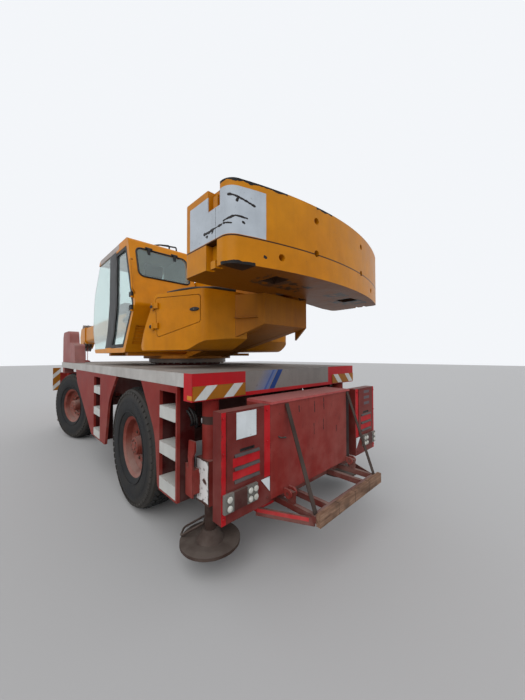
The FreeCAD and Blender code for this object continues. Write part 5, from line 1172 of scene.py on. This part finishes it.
# Operator's chair
# A bucket on a steel pedestal: crowned cushions of dark woven cloth with a sewn channel round each, and a
# separate head cushion on two posts. It is upholstery foam.
THREADS = 1600.0
CUSHION_CUTS = 18
BELLOWS, BELLOWS_STEP = 6, 0.044
CHANNEL_AT, CHANNEL_WIDTH, CHANNEL_DEPTH = 0.74, 0.035, 0.010
chair_cloth, tree, shader = blank("chair_cloth", {"Roughness": 0.9, "Sheen Weight": 0.3})
place = own_place(tree)
x_axis, y_axis, z_axis = split(tree, place)
warp = maths(tree, "SINE", times(tree, y_axis, THREADS))
weft = maths(tree, "SINE", times(tree, maths(tree, "ADD", x_axis, z_axis), THREADS))
weave = times(tree, warp, weft)
shade = ranged(tree, noise(tree, place, 6.0, 4.0), 0.35, 0.7)
colour = mixed(tree, ranged(tree, weave, -1, 1, 0.2, 0.8), (0.030, 0.032, 0.036, 1), (0.065, 0.068, 0.075, 1))
feed(tree, mixed(tree, times(tree, shade, 0.5), colour, (0.095, 0.090, 0.085, 1)), shader["Base Color"])
relieved(tree, maths(tree, "ADD", weave, noise(tree, place, 90.0, 4.0)), 0.5, 0.0015)


def cushion(bm, size, corner, crown, tuck, place_matrix):
    """A rounded box whose top swells and whose sides pull in, with a channel sewn inside its edge."""
    made = bmesh.ops.create_cube(bm, size=2.0)["verts"]
    edges = list({edge for vert in made for edge in vert.link_edges})
    bmesh.ops.subdivide_edges(bm, edges=edges, cuts=CUSHION_CUTS, use_grid_fill=True)
    halves = Vector(size) / 2
    for vert in [vert for vert in bm.verts if not vert.tag]:
        share = vert.co.copy()
        eased = Vector(math.copysign(1 - (1 - abs(c)) ** 1.25, c) for c in share)
        point = Vector(eased[i] * halves[i] for i in range(3))
        core = Vector(max(-(halves[i] - corner), min(halves[i] - corner, point[i])) for i in range(3))
        out = point - core
        if out.length > 1e-6:
            point = core + out.normalized() * min(corner, out.length)
        swell = (1 - share.x ** 2) * (1 - share.y ** 2)
        channel = math.exp(-((max(abs(eased.x), abs(eased.y)) - CHANNEL_AT) / CHANNEL_WIDTH) ** 2)
        if share.z > 0:
            point.z += crown * swell * share.z - CHANNEL_DEPTH * channel * share.z
        side = 1 - tuck * (1 - abs(share.x * share.y))
        point.x *= side if abs(share.x) > 0.98 else 1
        point.y *= side if abs(share.y) > 0.98 else 1
        vert.co = place_matrix @ point
        vert.tag = True


chair_low, chair_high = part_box("operator_chair")
middle_y = (chair_low.y + chair_high.y) / 2
bm = bmesh.new()
for size, corner, crown, station, height, lean in (
    # length, width and thickness, edge radius, crown, where its middle is, lean in degrees
    ((0.455, 0.47, 0.095), 0.040, 0.020, 2.362, 2.285, 0),
    ((0.550, 0.43, 0.085), 0.038, 0.018, 2.078, 2.585, 81),
    ((0.190, 0.27, 0.072), 0.032, 0.010, 2.012, 2.960, 84),
):
    turned = Matrix.Translation(at(station, middle_y, height)) @ Matrix.Rotation(math.radians(lean), 4, "Y")
    cushion(bm, size, corner, crown, 0.012, turned)
chair = piece("chair_cushions", bm, chair_cloth, "upper", "chair_fabric", smooth=True)
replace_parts(chair, "operator_chair")
bm = bmesh.new()
add_block(bm, at(2.160, middle_y - 0.200, 2.190), at(2.560, middle_y + 0.200, 2.228), 0.012)
add_block(bm, at(2.230, middle_y - 0.150, 1.850), at(2.490, middle_y + 0.150, 2.188), 0.016)
for step in range(BELLOWS):
    low = 1.900 + step * BELLOWS_STEP
    add_block(bm, at(2.215, middle_y - 0.165, low), at(2.505, middle_y + 0.165, low + BELLOWS_STEP / 2),
              0.008)
add_block(bm, at(2.200, middle_y - 0.190, 1.832), at(2.520, middle_y + 0.190, 1.852), 0.004)
for across in (-0.06, 0.06):
    lathe(bm, ((0, 0), (0, 0.006), (0.12, 0.006), (0.12, 0)),
          aligned(at(2.037, middle_y + across, 2.80), Vector((-0.1, 0, 1))), 12)
piece("chair_pedestal", bm, black_rubber, "upper", "dark_plastic")

# lever knobs on the console and the arm rest
KNOB = [(0.028 * math.sin(turn), 0.022 * math.cos(turn))
        for turn in (math.pi * (i / 8 - 0.5) for i in range(9))]
turned_pieces("lever_knobs", KNOB, [(at(2.560, 0.350, 2.655), UPWARD), (at(2.540, 1.020, 2.655), UPWARD)],
              black_rubber, "upper", "dark_plastic")

# Winch, hoist rope and luffing cylinder
# Greased wire rope is wound on the drum and led over the top of the boom to the head; the cylinder's rod is
# hard chromed.
wire_rope, tree, shader = blank("wire_rope", {"Metallic": 0.6, "Roughness": 0.5})
x_axis, y_axis, _ = split(tree, own_place(tree))
lay = maths(tree, "SINE", maths(tree, "ADD", times(tree, x_axis, 420.0), times(tree, y_axis, 700.0)))
grease = ranged(tree, noise(tree, own_place(tree), 14.0, 4.0), 0.4, 0.7)
feed(tree, mixed(tree, grease, (0.10, 0.095, 0.09, 1), (0.030, 0.024, 0.018, 1)), shader["Base Color"])
relieved(tree, lay, 0.7, 0.003)

ROPE_RADIUS = 0.0065
BOOM_PIN = (0.950, 2.600)
BOOM_PITCH = math.radians(1.5)


def boom_point(along, across, height):
    """A point in the boom's own frame: ahead of its pin, to the left and above its axis."""
    return at(BOOM_PIN[0] + along * math.cos(BOOM_PITCH) + height * math.sin(BOOM_PITCH), across,
              BOOM_PIN[1] + height * math.cos(BOOM_PITCH) - along * math.sin(BOOM_PITCH))


ROPE_TOP = 0.318
swept("rope_on_base", [[boom_point(-0.25, 0, ROPE_TOP), boom_point(7.85, 0, ROPE_TOP)]], ROPE_RADIUS,
      wire_rope, "boom", "bare_steel", sides=10)
bm = bmesh.new()
for along in (0.62, 3.2, 5.8):
    lathe(bm, ((-0.050, 0), (-0.050, 0.026), (-0.036, 0.026), (-0.030, 0.018), (0.030, 0.018),
               (0.036, 0.026), (0.050, 0.026), (0.050, 0)),
          aligned(boom_point(along, 0, ROPE_TOP - 0.0245), Vector((0, 1, 0))), 20)
    for side in (1, -1):
        start = boom_point(along, side * 0.0545, ROPE_TOP - 0.0245)
        add_block(bm, start - Vector((0.028, 0.0035, 0.024)), start + Vector((0.028, 0.0035, 0.028)), 0.003)
piece("rope_rollers", bm, race_steel, "boom", "bare_steel")

# rope wound on the drum, and its leads from the drum to the boom and over the nested sections to the head
drum_low, drum_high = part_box("winch_drum")
drum_centre = (drum_low + drum_high) / 2
DRUM_CORE = 0.130
WRAPS = 25
bm = bmesh.new()
lathe(bm, [(ROPE_RADIUS * math.cos(math.tau * i / 8), DRUM_CORE + ROPE_RADIUS + ROPE_RADIUS
            * math.sin(math.tau * i / 8)) for i in range(8)], Matrix(), 40, closed=True)
rope_wraps = repeated(piece("rope_wraps", bm, wire_rope, None, smooth=True), WRAPS, wire_rope,
                      move=(0, 2 * ROPE_RADIUS, 0))
rope_wraps.data.transform(Matrix.Translation(drum_centre - Vector((0, (WRAPS - 1) * ROPE_RADIUS, 0))))
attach(rope_wraps, "winch")
drum_top = Vector((drum_centre.x, 0, drum_centre.z + DRUM_CORE + ROPE_RADIUS))
swept("rope_lead", [[drum_top, boom_point(-0.26, 0, ROPE_TOP)]], ROPE_RADIUS, wire_rope, "upper",
      "bare_steel", sides=10)
for name, start, end, first, second in (
    ("rope_on_middle", boom_point(7.85, 0, ROPE_TOP), boom_point(8.15, 0, 0.375), "boom", "boom_middle"),
    ("rope_on_top", boom_point(8.15, 0, 0.375), boom_point(8.60, 0, 0.478), "boom_middle", "boom_top"),
):
    line = swept(name, [[start.lerp(end, i / 8) for i in range(9)]], ROPE_RADIUS, wire_rope, None,
                 "bare_steel", bend=0.0, sides=10)
    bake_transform(line)

chrome = filmed("hard_chrome", {"Metallic": 1.0}, (0.62, 0.62, 0.63), (0.42, 0.39, 0.36), 0.12, 0.4, low=0.35)
dress(chrome, "luff_rod")
